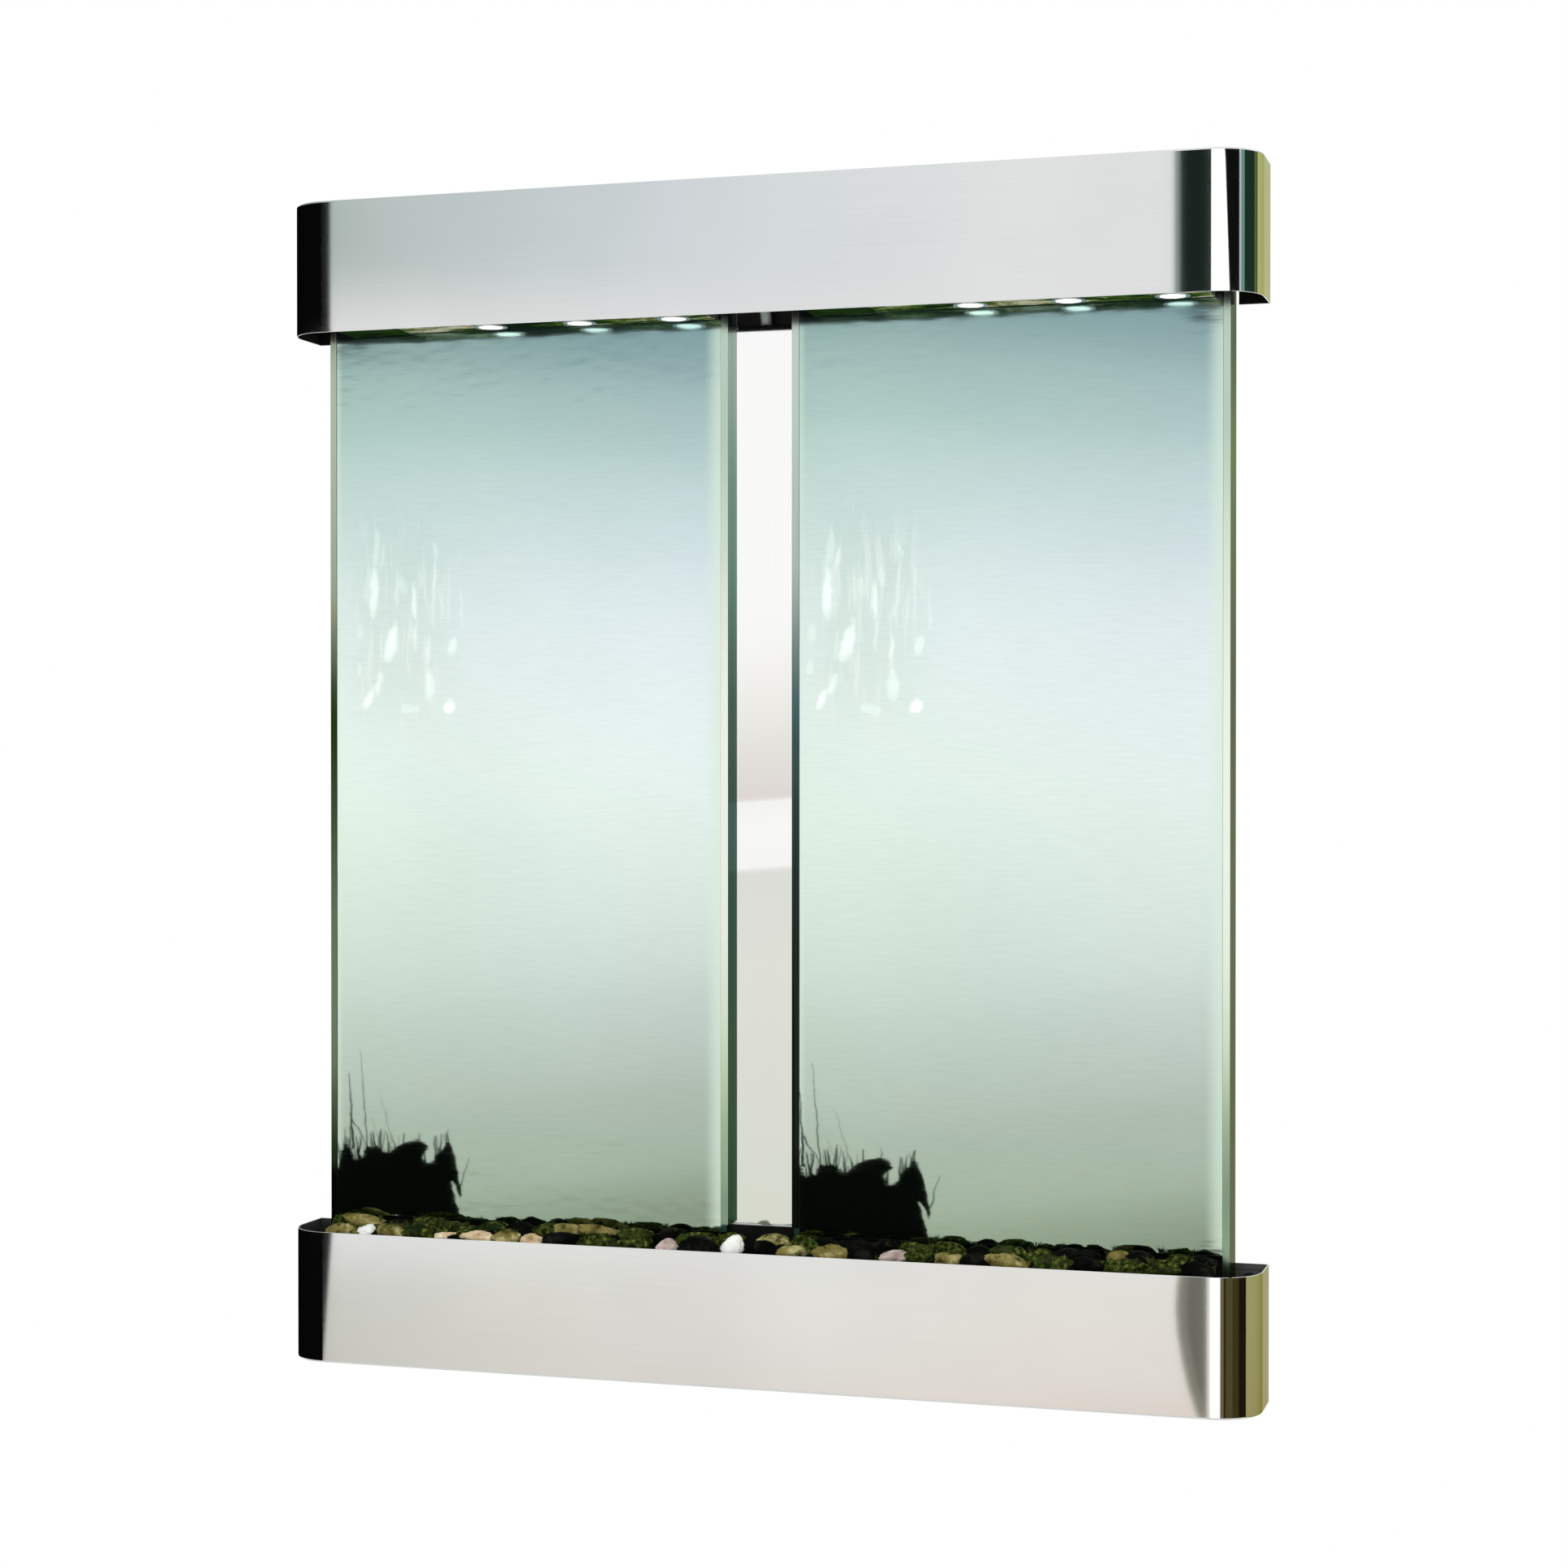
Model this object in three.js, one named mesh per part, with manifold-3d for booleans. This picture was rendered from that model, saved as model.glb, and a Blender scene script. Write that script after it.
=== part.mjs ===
// Wall-hung water fountain: two upright mirror panels behind a falling film of water, with a steel
// hood over them and a steel tray of river stones under them. Millimetres, +Z up, the wall at y = 0
// and the front at -Y. Heights are written from the underside of the tray, and the whole fountain is
// then lowered so that the origin lies on the wall, on the hanging line of the wall cleat.
import * as THREE from "three";
import { mergeVertices } from "three/addons/utils/BufferGeometryUtils.js";
import Module from "manifold-3d";

const wasm = await Module();
wasm.setup();

// Driving dimensions.
const HEIGHT = 1753;
const HALF_WIDTH = 735;
const DEPTH = 135;
const CORNER_RADIUS = 65;
const SHEET = 1.5;
const HOOD_HEIGHT = 198;
const TRAY_HEIGHT = 197;
const GAP = 0.3;

const CLEAT_HEIGHT = 1700; // the hanging line, above the tray's underside
const CLEAT_HALF_LENGTH = 550;

const HOOD_BOTTOM = HEIGHT - HOOD_HEIGHT;
const HOOD_BACK = -3;
const HOOD_BACK_LIP = 14;
const HOOD_BACK_FLANGE = 44;

const TRAY_BACK = -6; // the tray's rear face; bumpers fill the space to the wall
const LINER_HEIGHT = 148;
const LINER_WALL = 3;
const LINER_BACK = -12.3;

// The panel frame, front to back.
const TRIM_FRONT = -66.2;
const TRIM_SHEET = 1.2;
const GLASS_FRONT = -64.6;
const GLASS = 6;
const BOARD_FRONT = -58.3;
const BOARD = 6;
const FRAME_FRONT = -52;
const FRAME_BACK = -12;

// The panel frame, from the middle outwards.
const GAP_HALF = 49; // half the opening between the two panels' inner trims
const STILE_INNER = 52;
const STILE_WIDTH = 25;
const INNER_TRIM = 11;
const OUTER_TRIM = 10;
const FRAME_HALF = 688;
const STILE_OUTER = FRAME_HALF - 2 - STILE_WIDTH;

// The panel frame, bottom to top.
const FRAME_BOTTOM = 200;
const BOTTOM_RAIL = 25;
const GLASS_BOTTOM = 215;
const GLASS_TOP = 1680;
const TRIM_TOP = 1690;
const TOP_RAIL_BOTTOM = 1695;
const TOP_RAIL = 40;
const MID_RAIL_BOTTOM = 940;
const TUBE_WALL = 2;

const DIVIDER_FRONT = -44;
const DIVIDER_BOTTOM = 226;
const DIVIDER_TOP = 1550;

// Water path.
const PUMP_AXIS = [-100, 45]; // y, z of the impeller shaft
const HOSE_RADIUS = 8;
const HOSE_BORE = 6.5;
const BARB_RADIUS = 5.6;
const RISER_Y = -31;
const BAR_Y = -85;
const BAR_Z = 1650;
const BAR_RADIUS = 10;
const BAR_END = 665;
const BORE_RADIUS = 8;
const TEE_HALF = 25;
const VALVE_END = 75;
const VALVE_STEM_X = 50;

// Light bars: the same unit behind each half of the hood, so not mirrored.
const LIGHT_STARTS = { left: -651, right: 82 };
const LIGHT_LENGTH = 584;
const LIGHT_FRONT = -131;
const LIGHT_BACK = -71;
const LIGHT_PLATE_BOTTOM = 1557.5;
const LAMP_OFFSETS = [242, 383, 530];
const LAMP_RADIUS = 25;
const LAMP_BODY_RADIUS = 21;
const HANGER_OFFSETS = [120, 456];

// Stone shelves, which stand in front of the glass.
const SHELF_FRONT = -131;
const SHELF_BACK = -69.5;
const SHELF_END = 676;
const SHELF_TOP = 156;
const SHELF_SHEET = 4;
const WALL_XS = [112, 390, 655];

const SIDES = [
  ["left", -1],
  ["right", 1],
];

const standard = (color, roughness, metalness) =>
  new THREE.MeshStandardMaterial({ color, roughness, metalness });
const steel = standard(0xd6d5d2, 0.28, 1);
const aluminium = standard(0xb4b6b8, 0.45, 1);
const mirror = standard(0xa9c3c4, 0.08, 1);
const board = standard(0x4a4d4c, 0.85, 0);
const blackPlastic = standard(0x1c1d1e, 0.6, 0);
const whitePlastic = standard(0xd9d8d2, 0.5, 0);
const brass = standard(0xb08d4a, 0.35, 1);
const redGrip = standard(0x9c2420, 0.55, 0);
const vinyl = standard(0xbfd0d2, 0.3, 0);
const rubber = standard(0x222222, 0.9, 0);
const stone = standard(0x6d6a4a, 0.7, 0);
const lampGlass = standard(0xf4ecd8, 0.2, 0);

const fountain = new THREE.Group();
fountain.position.z = -CLEAT_HEIGHT;

function add(name, geometry, material, x = 0, y = 0, z = 0) {
  const mesh = new THREE.Mesh(geometry, material);
  mesh.name = name;
  mesh.position.set(x, y, z);
  fountain.add(mesh);
  return mesh;
}

// Solids and booleans.
function solid(geometry) {
  const bare = geometry.index ? geometry.toNonIndexed() : geometry.clone();
  bare.deleteAttribute("normal");
  bare.deleteAttribute("uv");
  const merged = mergeVertices(bare, 1e-4);
  return new wasm.Manifold(
    new wasm.Mesh({
      numProp: 3,
      vertProperties: merged.attributes.position.array,
      triVerts: new Uint32Array(merged.index.array),
    }),
  );
}

function surface(body) {
  const mesh = body.getMesh();
  const geometry = new THREE.BufferGeometry();
  geometry.setAttribute("position", new THREE.BufferAttribute(mesh.vertProperties, 3));
  geometry.setIndex(new THREE.BufferAttribute(mesh.triVerts, 1));
  geometry.computeVertexNormals();
  return geometry;
}

const join = (first, ...rest) => rest.reduce((sum, g) => sum.add(solid(g)), solid(first));
const cut = (body, ...tools) => tools.reduce((left, g) => left.subtract(solid(g)), body);

// A box between two corners.
function box([x0, x1], [y0, y1], [z0, z1]) {
  return new THREE.BoxGeometry(Math.abs(x1 - x0), y1 - y0, z1 - z0).translate(
    (x0 + x1) / 2,
    (y0 + y1) / 2,
    (z0 + z1) / 2,
  );
}

// A round bar along one axis, its near end at the given point.
function bar(axis, radius, length, [x, y, z], sides = 16) {
  const geometry = new THREE.CylinderGeometry(radius, radius, length, sides);
  geometry.translate(0, length / 2, 0);
  if (axis === "x") geometry.rotateZ(-Math.PI / 2);
  if (axis === "z") geometry.rotateX(Math.PI / 2);
  return geometry.translate(x, y, z);
}

function outline(points) {
  return new THREE.Shape(points.map(([a, b]) => new THREE.Vector2(a, b)));
}

// A plan outline (x, y) raised along z.
function raise(shape, z0, z1, curveSegments = 10) {
  const settings = { depth: z1 - z0, bevelEnabled: false, curveSegments };
  return new THREE.ExtrudeGeometry(shape, settings).translate(0, 0, z0);
}

// A side outline (y, z) carried along x, centred on x = 0.
function carry(shape, length, curveSegments = 8) {
  const settings = { depth: length, bevelEnabled: false, curveSegments };
  const geometry = new THREE.ExtrudeGeometry(shape, settings);
  geometry.rotateX(Math.PI / 2).rotateZ(Math.PI / 2);
  return geometry.translate(-length / 2, 0, 0);
}

// The plan outline that the hood and the tray share: round front corners, square back.
function footprint(inset, back) {
  const half = HALF_WIDTH - inset;
  const radius = CORNER_RADIUS - inset;
  const centre = -DEPTH + CORNER_RADIUS;
  const shape = new THREE.Shape();
  shape.moveTo(-half, back);
  shape.lineTo(-half, centre);
  shape.absarc(-half + radius, centre, radius, Math.PI, 1.5 * Math.PI, false);
  shape.absarc(half - radius, centre, radius, 1.5 * Math.PI, 2 * Math.PI, false);
  shape.lineTo(half, back);
  shape.closePath();
  return shape;
}

// A rectangular tube section with an open bore.
function tubeSection(width, depth) {
  const shape = outline([
    [0, 0],
    [width, 0],
    [width, depth],
    [0, depth],
  ]);
  const bore = [
    [TUBE_WALL, TUBE_WALL],
    [TUBE_WALL, depth - TUBE_WALL],
    [width - TUBE_WALL, depth - TUBE_WALL],
    [width - TUBE_WALL, TUBE_WALL],
  ];
  shape.holes.push(new THREE.Path(bore.map(([a, b]) => new THREE.Vector2(a, b))));
  return shape;
}

// --- Hanging ------------------------------------------------------------------------------------

function wallCleat() {
  const profile = outline([
    [0, -45],
    [0, 25],
    [-3, 25],
    [-3, 0],
    [-6, 0],
    [-6, 14],
    [-8.4, 14],
    [-8.4, -3],
    [-3, -3],
    [-3, -45],
  ]);
  const screwHoles = [-450, -270, -90, 90, 270, 450].map((x) => {
    return bar("y", 3, 10, [x, -5, -25], 8);
  });
  const cleat = cut(solid(carry(profile, 2 * CLEAT_HALF_LENGTH)), ...screwHoles);
  add("wall_cleat", surface(cleat), aluminium, 0, 0, CLEAT_HEIGHT);
}

function frameCleat() {
  const profile = outline([
    [-11.7, -30],
    [-8.7, -30],
    [-8.7, 14.3],
    [-5.7, 14.3],
    [-5.7, GAP],
    [-3.3, GAP],
    [-3.3, 17],
    [-8.7, 17],
    [-8.7, 35],
    [-11.7, 35],
  ]);
  add("frame_cleat", carry(profile, 2 * CLEAT_HALF_LENGTH - 60), aluminium, 0, 0, CLEAT_HEIGHT);
}

function wallBumper(side, s) {
  const pad = new THREE.BoxGeometry(60, -TRAY_BACK - GAP, 30);
  add(`wall_bumper_${side}`, pad, rubber, s * 560, (TRAY_BACK + GAP) / 2, 60);
}

// --- Panel frame --------------------------------------------------------------------------------

const frameDepth = FRAME_BACK - FRAME_FRONT;

// A level tube of the frame, its middle at x and its underside at z.
function rail(height, length) {
  return carry(tubeSection(frameDepth, height), length);
}

function frameRails() {
  const full = 2 * (FRAME_HALF - 2);
  add("top_rail", rail(TOP_RAIL, full), aluminium, 0, FRAME_FRONT, TOP_RAIL_BOTTOM + GAP);
  const hosePass = bar("z", 11, 60, [0, RISER_Y - FRAME_FRONT, -10], 12);
  const bottom = cut(solid(rail(BOTTOM_RAIL, full)), hosePass);
  add("bottom_rail", surface(bottom), aluminium, 0, FRAME_FRONT, FRAME_BOTTOM);
}

function midRail(side, s) {
  const inner = STILE_INNER + STILE_WIDTH + GAP;
  const outer = STILE_OUTER - GAP;
  const middle = (s * (inner + outer)) / 2;
  add(`mid_rail_${side}`, rail(BOTTOM_RAIL, outer - inner), aluminium, middle, FRAME_FRONT, MID_RAIL_BOTTOM);
}

function stiles(side, s) {
  const bottom = FRAME_BOTTOM + BOTTOM_RAIL + GAP;
  for (const [place, near] of [
    ["inner", STILE_INNER],
    ["outer", STILE_OUTER],
  ]) {
    const stile = raise(tubeSection(STILE_WIDTH, frameDepth), bottom, TOP_RAIL_BOTTOM);
    const x = s > 0 ? near : -near - STILE_WIDTH;
    add(`stile_${place}_${side}`, stile, aluminium, x, FRAME_FRONT);
  }
}

function panel(side, s) {
  const inner = STILE_INNER;
  const outer = FRAME_HALF - 3;
  const width = outer - inner;
  const x = (s * (inner + outer)) / 2;
  const boardBottom = FRAME_BOTTOM + BOTTOM_RAIL + 2;
  const backer = new THREE.BoxGeometry(width, BOARD, GLASS_TOP - boardBottom);
  add(`backer_board_${side}`, backer, board, x, BOARD_FRONT + BOARD / 2, (GLASS_TOP + boardBottom) / 2);
  const glass = new THREE.BoxGeometry(width, GLASS, GLASS_TOP - GLASS_BOTTOM);
  add(`mirror_panel_${side}`, glass, mirror, x, GLASS_FRONT + GLASS / 2, (GLASS_TOP + GLASS_BOTTOM) / 2);
}

function trims(side, s) {
  const back = TRIM_FRONT + TRIM_SHEET;
  const outerBottom = 170;
  const outerBack = -8;
  const outer = outline([
    [s * (FRAME_HALF - OUTER_TRIM), TRIM_FRONT],
    [s * FRAME_HALF, TRIM_FRONT],
    [s * FRAME_HALF, outerBack],
    [s * (FRAME_HALF - TRIM_SHEET), outerBack],
    [s * (FRAME_HALF - TRIM_SHEET), back],
    [s * (FRAME_HALF - OUTER_TRIM), back],
  ]);
  add(`outer_trim_${side}`, raise(outer, outerBottom, TRIM_TOP), steel);
  const inner = outline([
    [s * (GAP_HALF + INNER_TRIM), TRIM_FRONT],
    [s * GAP_HALF, TRIM_FRONT],
    [s * GAP_HALF, DIVIDER_FRONT - GAP],
    [s * (GAP_HALF + TRIM_SHEET), DIVIDER_FRONT - GAP],
    [s * (GAP_HALF + TRIM_SHEET), back],
    [s * (GAP_HALF + INNER_TRIM), back],
  ]);
  add(`inner_trim_${side}`, raise(inner, DIVIDER_BOTTOM, TRIM_TOP), steel);
}

// The divider is a channel, open at the back for the riser hose.
function centreDivider() {
  const half = STILE_INNER - 1.2;
  const flange = DIVIDER_FRONT + 22;
  const web = DIVIDER_FRONT + SHEET;
  const profile = outline([
    [-half, DIVIDER_FRONT],
    [half, DIVIDER_FRONT],
    [half, flange],
    [half - SHEET, flange],
    [half - SHEET, web],
    [SHEET - half, web],
    [SHEET - half, flange],
    [-half, flange],
  ]);
  add("centre_divider", raise(profile, DIVIDER_BOTTOM, DIVIDER_TOP), steel);
}

// A plate behind the hose's upper bend closes the space between the two panels from the back.
function hoseGuard() {
  const thickness = 2;
  const plate = box(
    [GAP - STILE_INNER, STILE_INNER - GAP],
    [FRAME_BACK - thickness, FRAME_BACK],
    [1450, TOP_RAIL_BOTTOM],
  );
  add("hose_guard", plate, blackPlastic);
}

// The apron carries the water from behind the glass's foot down into the liner.
function dripApron() {
  const thickness = 2;
  const bottom = 120;
  const top = DIVIDER_BOTTOM - 1;
  const sheet = new THREE.BoxGeometry(2 * (FRAME_HALF - 2), thickness, top - bottom);
  add("drip_apron", sheet, steel, 0, FRAME_FRONT - GAP - thickness / 2, (top + bottom) / 2);
}

function trayHanger(side, s) {
  const strap = new THREE.BoxGeometry(23, 3.9, 240);
  add(`tray_hanger_${side}`, strap, aluminium, s * (STILE_OUTER + STILE_WIDTH / 2), -9.75, 210);
}

function hoodBracket(side, s) {
  const rise = HEIGHT - SHEET - (TOP_RAIL_BOTTOM + TOP_RAIL) - 3 * GAP;
  const foot = [-50, -38];
  const head = [-36, -14];
  const profile = outline([
    [foot[0], 0],
    [head[0], 0],
    [head[0], rise - 2],
    [head[1], rise - 2],
    [head[1], rise],
    [foot[1], rise],
    [foot[1], 2],
    [foot[0], 2],
  ]);
  const base = TOP_RAIL_BOTTOM + TOP_RAIL + 2 * GAP;
  add(`hood_bracket_${side}`, carry(profile, 70), aluminium, s * 400, 0, base);
}

// --- Hood ---------------------------------------------------------------------------------------

function hood() {
  const shell = cut(
    solid(raise(footprint(0, HOOD_BACK), HOOD_BOTTOM, HEIGHT)),
    raise(footprint(SHEET, HOOD_BACK - SHEET), HOOD_BOTTOM - 1, HEIGHT - SHEET),
    box(
      [HOOD_BACK_FLANGE - HALF_WIDTH, HALF_WIDTH - HOOD_BACK_FLANGE],
      [HOOD_BACK - 2 * SHEET, HOOD_BACK + 1],
      [HOOD_BOTTOM - 1, HEIGHT - HOOD_BACK_LIP],
    ),
  );
  add("hood_shell", surface(shell), steel);
}

// --- Water supply -------------------------------------------------------------------------------

const CHAMBER_HALF = 11;
const CHAMBER_RADIUS = 22;

function pump() {
  const [y, z] = PUMP_AXIS;
  const floor = LINER_WALL + 2 + GAP;
  const motor = box([-78, 1 - CHAMBER_HALF], [y - 26, y + 26], [z - 28, z + 28]);
  const chamber = bar("x", CHAMBER_RADIUS, 2 * CHAMBER_HALF, [-CHAMBER_HALF, y, z], 20);
  const nozzle = bar("y", BARB_RADIUS, 34, [0, y + 2, z], 12);
  const feet = [-68, -22].flatMap((x) => {
    return [y - 18, y + 18].map((footY) => bar("z", 5, z - 27 - floor, [x, footY, floor], 8));
  });
  const body = cut(
    join(motor, chamber, nozzle, ...feet),
    bar("x", CHAMBER_RADIUS - 3, 2 * CHAMBER_HALF, [3 - CHAMBER_HALF, y, z], 20),
    bar("y", BARB_RADIUS - 1.6, 60, [0, y, z], 12),
  );
  add("pump_body", surface(body), blackPlastic);

  const inlet = bar("x", 7, 20, [CHAMBER_HALF - 2, y, z], 12);
  const slots = [0, 1, 2, 3, 4, 5].map((i) => {
    const slot = new THREE.BoxGeometry(20, 3, 9).translate(CHAMBER_HALF, 0, 14);
    return slot.rotateX((i * Math.PI) / 3).translate(0, y, z);
  });
  const cover = bar("x", CHAMBER_RADIUS, 4, [CHAMBER_HALF + GAP, y, z], 20);
  add("pump_cover", surface(cut(solid(cover), inlet, ...slots)), blackPlastic);
}

function impeller() {
  const [y, z] = PUMP_AXIS;
  const hub = bar("x", 4, 13, [-6.5, 0, 0], 12);
  const plate = bar("x", 16, 2, [-6.5, 0, 0], 16);
  const vanes = [0, 1, 2, 3, 4].map((i) => {
    return box([-5, 5], [-0.8, 0.8], [2, 15.5]).rotateX((i * 2 * Math.PI) / 5);
  });
  add("impeller", surface(join(hub, plate, ...vanes)), whitePlastic, 0, y, z);
}

// A run made of several curves, each given the same share of the tube's steps.
class Run extends THREE.Curve {
  constructor(curves) {
    super();
    this.curves = curves;
  }
  getPoint(t, target = new THREE.Vector3()) {
    const scaled = Math.min(t, 0.999999) * this.curves.length;
    const index = Math.floor(scaled);
    return target.copy(this.curves[index].getPoint(scaled - index));
  }
  getPointAt(u, target) {
    return this.getPoint(u, target);
  }
  getTangentAt(u, target) {
    return this.getTangent(u, target);
  }
}

const inPlane = (y, z) => new THREE.Vector3(0, y, z);
const straight = (a, b) => new THREE.LineCurve3(inPlane(...a), inPlane(...b));
const bend = (a, b, c, d) => {
  return new THREE.CubicBezierCurve3(inPlane(...a), inPlane(...b), inPlane(...c), inPlane(...d));
};

function riserHose() {
  const [pumpY, pumpZ] = PUMP_AXIS;
  const start = pumpY + CHAMBER_RADIUS + 3;
  const turn = 31;
  const low = RISER_Y - turn;
  const handle = 0.552 * turn;
  const sweepBottom = 1552;
  const sweepTop = 1612;
  const end = BAR_Z - 16;
  const run = new Run([
    straight([start, pumpZ], [low, pumpZ]),
    bend([low, pumpZ], [low + handle, pumpZ], [RISER_Y, pumpZ + turn - handle], [RISER_Y, pumpZ + turn]),
    straight([RISER_Y, pumpZ + turn], [RISER_Y, sweepBottom]),
    bend([RISER_Y, sweepBottom], [RISER_Y, sweepBottom + 34], [BAR_Y, sweepTop - 34], [BAR_Y, sweepTop]),
    straight([BAR_Y, sweepTop], [BAR_Y, end]),
  ]);
  const section = new THREE.Shape().absarc(0, 0, HOSE_RADIUS, 0, 2 * Math.PI, false);
  section.holes.push(new THREE.Path().absarc(0, 0, HOSE_BORE, 0, 2 * Math.PI, true));
  const tube = new THREE.ExtrudeGeometry(section, {
    steps: 25,
    curveSegments: 5,
    bevelEnabled: false,
    extrudePath: run,
  });
  add("riser_hose", tube, vinyl);
}

function teeFitting() {
  const body = cut(
    join(
      bar("x", 12, 2 * TEE_HALF, [-TEE_HALF, BAR_Y, BAR_Z]),
      bar("z", 11, 14, [0, BAR_Y, BAR_Z - 15]),
      bar("z", BARB_RADIUS, 30, [0, BAR_Y, BAR_Z - 36], 12),
    ),
    bar("x", BORE_RADIUS, 80, [-40, BAR_Y, BAR_Z], 12),
    bar("z", BARB_RADIUS - 1.6, 40, [0, BAR_Y, BAR_Z - 40], 12),
  );
  add("tee_fitting", surface(body), whitePlastic);
}

function valve(side, s) {
  const length = VALVE_END - TEE_HALF - 2 * GAP;
  const start = s > 0 ? TEE_HALF + GAP : -VALVE_END + GAP;
  const body = cut(
    join(
      bar("x", 13, length, [start, BAR_Y, BAR_Z]),
      bar("z", 14, 30, [s * VALVE_STEM_X, BAR_Y, BAR_Z - 14], 12),
      bar("z", 5, 10, [s * VALVE_STEM_X, BAR_Y, BAR_Z + 15], 12),
    ),
    bar("x", BORE_RADIUS, 2 * length, [start - length / 2, BAR_Y, BAR_Z], 12),
  );
  add(`valve_body_${side}`, surface(body), brass);

  const grip = outline([
    [0, -7],
    [s * 40, -5],
    [s * 44, -3],
    [s * 44, 3],
    [s * 40, 5],
    [0, 7],
  ]);
  const lever = join(bar("z", 10, 5, [0, 0, 0], 12), raise(grip, 0, 4));
  const stemTop = BAR_Z + 25 + GAP;
  add(`valve_lever_${side}`, surface(lever), redGrip, s * VALVE_STEM_X, BAR_Y, stemTop);
}

function sprayBar(side, s) {
  const length = BAR_END - VALVE_END;
  const start = s > 0 ? VALVE_END : -BAR_END;
  const boreStart = s > 0 ? start - 5 : start + 5;
  const slotCount = 8;
  const pitch = length / slotCount;
  const slots = Array.from({ length: slotCount }, (_, i) => {
    const middle = start + (i + 0.5) * pitch;
    return box([middle - 28, middle + 28], [BAR_Y + 4, BAR_Y + 14], [BAR_Z - 1, BAR_Z + 1]);
  });
  const pipe = cut(
    solid(bar("x", BAR_RADIUS, length, [start, BAR_Y, BAR_Z], 12)),
    bar("x", BORE_RADIUS, length, [boreStart, BAR_Y, BAR_Z], 12),
    ...slots,
  );
  add(`spray_bar_${side}`, surface(pipe), steel);
}

// A strap from the top rail that rings the spray bar and goes on down to the light bar.
function barHanger(side, number, x) {
  const width = 20;
  const strap = 3;
  const armZ = TOP_RAIL_BOTTOM + 4;
  const footZ = LIGHT_PLATE_BOTTOM + SHEET + GAP;
  const across = [-width / 2, width / 2];
  const back = FRAME_FRONT - GAP;
  const ring = new THREE.Shape().absarc(0, 0, BAR_RADIUS + 4, 0, 2 * Math.PI, false);
  const body = cut(
    join(
      box(across, [back - strap, back], [armZ, armZ + 30]),
      box(across, [BAR_Y - strap / 2, back], [armZ, armZ + strap]),
      box(across, [BAR_Y - strap / 2, BAR_Y + strap / 2], [footZ, armZ + strap]),
      box(across, [-112, -74], [footZ, footZ + strap]),
      carry(ring, width, 12).translate(0, BAR_Y, BAR_Z),
    ),
    bar("x", BAR_RADIUS + 0.9, 2 * width, [-width, BAR_Y, BAR_Z], 12),
  );
  add(`bar_hanger_${side}_${number}`, surface(body), steel, x);
}

// --- Lights -------------------------------------------------------------------------------------

function lightBar(side) {
  const start = LIGHT_STARTS[side];
  const middle = (LIGHT_FRONT + LIGHT_BACK) / 2;
  const flange = 14;
  const profile = outline([
    [LIGHT_FRONT, 0],
    [LIGHT_BACK, 0],
    [LIGHT_BACK, flange],
    [LIGHT_BACK - SHEET, flange],
    [LIGHT_BACK - SHEET, SHEET],
    [LIGHT_FRONT + SHEET, SHEET],
    [LIGHT_FRONT + SHEET, flange],
    [LIGHT_FRONT, flange],
  ]);
  const channel = carry(profile, LIGHT_LENGTH).translate(LIGHT_LENGTH / 2, 0, 0);
  const holes = LAMP_OFFSETS.map((x) => bar("z", LAMP_BODY_RADIUS + 1, 10, [x, middle, -5], 20));
  const plate = surface(cut(solid(channel), ...holes));
  add(`light_channel_${side}`, plate, steel, start, 0, LIGHT_PLATE_BOTTOM);

  LAMP_OFFSETS.forEach((x, i) => {
    const rim = bar("z", LAMP_RADIUS, 1.6, [0, 0, -1.6 - GAP], 20);
    const can = bar("z", LAMP_BODY_RADIUS, 20, [0, 0, -GAP - 1], 20);
    const lamp = surface(join(rim, can));
    add(`lamp_${side}_${i + 1}`, lamp, lampGlass, start + x, middle, LIGHT_PLATE_BOTTOM);
  });

  const driver = box([4, 96], [LIGHT_FRONT + 3, LIGHT_BACK - 3], [-2.2, -GAP]);
  add(`lamp_driver_${side}`, driver, blackPlastic, start, 0, LIGHT_PLATE_BOTTOM);
}

// --- Tray ---------------------------------------------------------------------------------------

function tray() {
  const grommet = [708, 175];
  const shell = cut(
    solid(raise(footprint(0, TRAY_BACK), 0, TRAY_HEIGHT)),
    raise(footprint(SHEET, TRAY_BACK - SHEET), SHEET, TRAY_HEIGHT + 1),
    bar("y", 8, 20, [grommet[0], TRAY_BACK - 10, grommet[1]], 12),
  );
  add("tray_shell", surface(shell), steel);

  const groove = 7.4;
  const lip = 10;
  const bore = 4;
  const sheetFront = TRAY_BACK - SHEET;
  const profile = [
    [bore, sheetFront - 2.5],
    [lip, sheetFront - 2.5],
    [lip, sheetFront - GAP],
    [groove, sheetFront - GAP],
    [groove, TRAY_BACK + GAP],
    [lip, TRAY_BACK + GAP],
    [lip, TRAY_BACK + 2.5],
    [bore, TRAY_BACK + 2.5],
    [bore, sheetFront - 2.5],
  ].map(([r, y]) => new THREE.Vector2(r, y));
  add("cable_grommet", new THREE.LatheGeometry(profile, 12), rubber, grommet[0], 0, grommet[1]);
}

function reservoirLiner() {
  const inset = SHEET + 0.7;
  const bottom = SHEET + 0.5;
  const liner = cut(
    solid(raise(footprint(inset, LINER_BACK), bottom, bottom + LINER_HEIGHT)),
    raise(
      footprint(inset + LINER_WALL, LINER_BACK - LINER_WALL),
      bottom + LINER_WALL,
      bottom + LINER_HEIGHT + 1,
    ),
  );
  add("reservoir_liner", surface(liner), blackPlastic);
}

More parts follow.
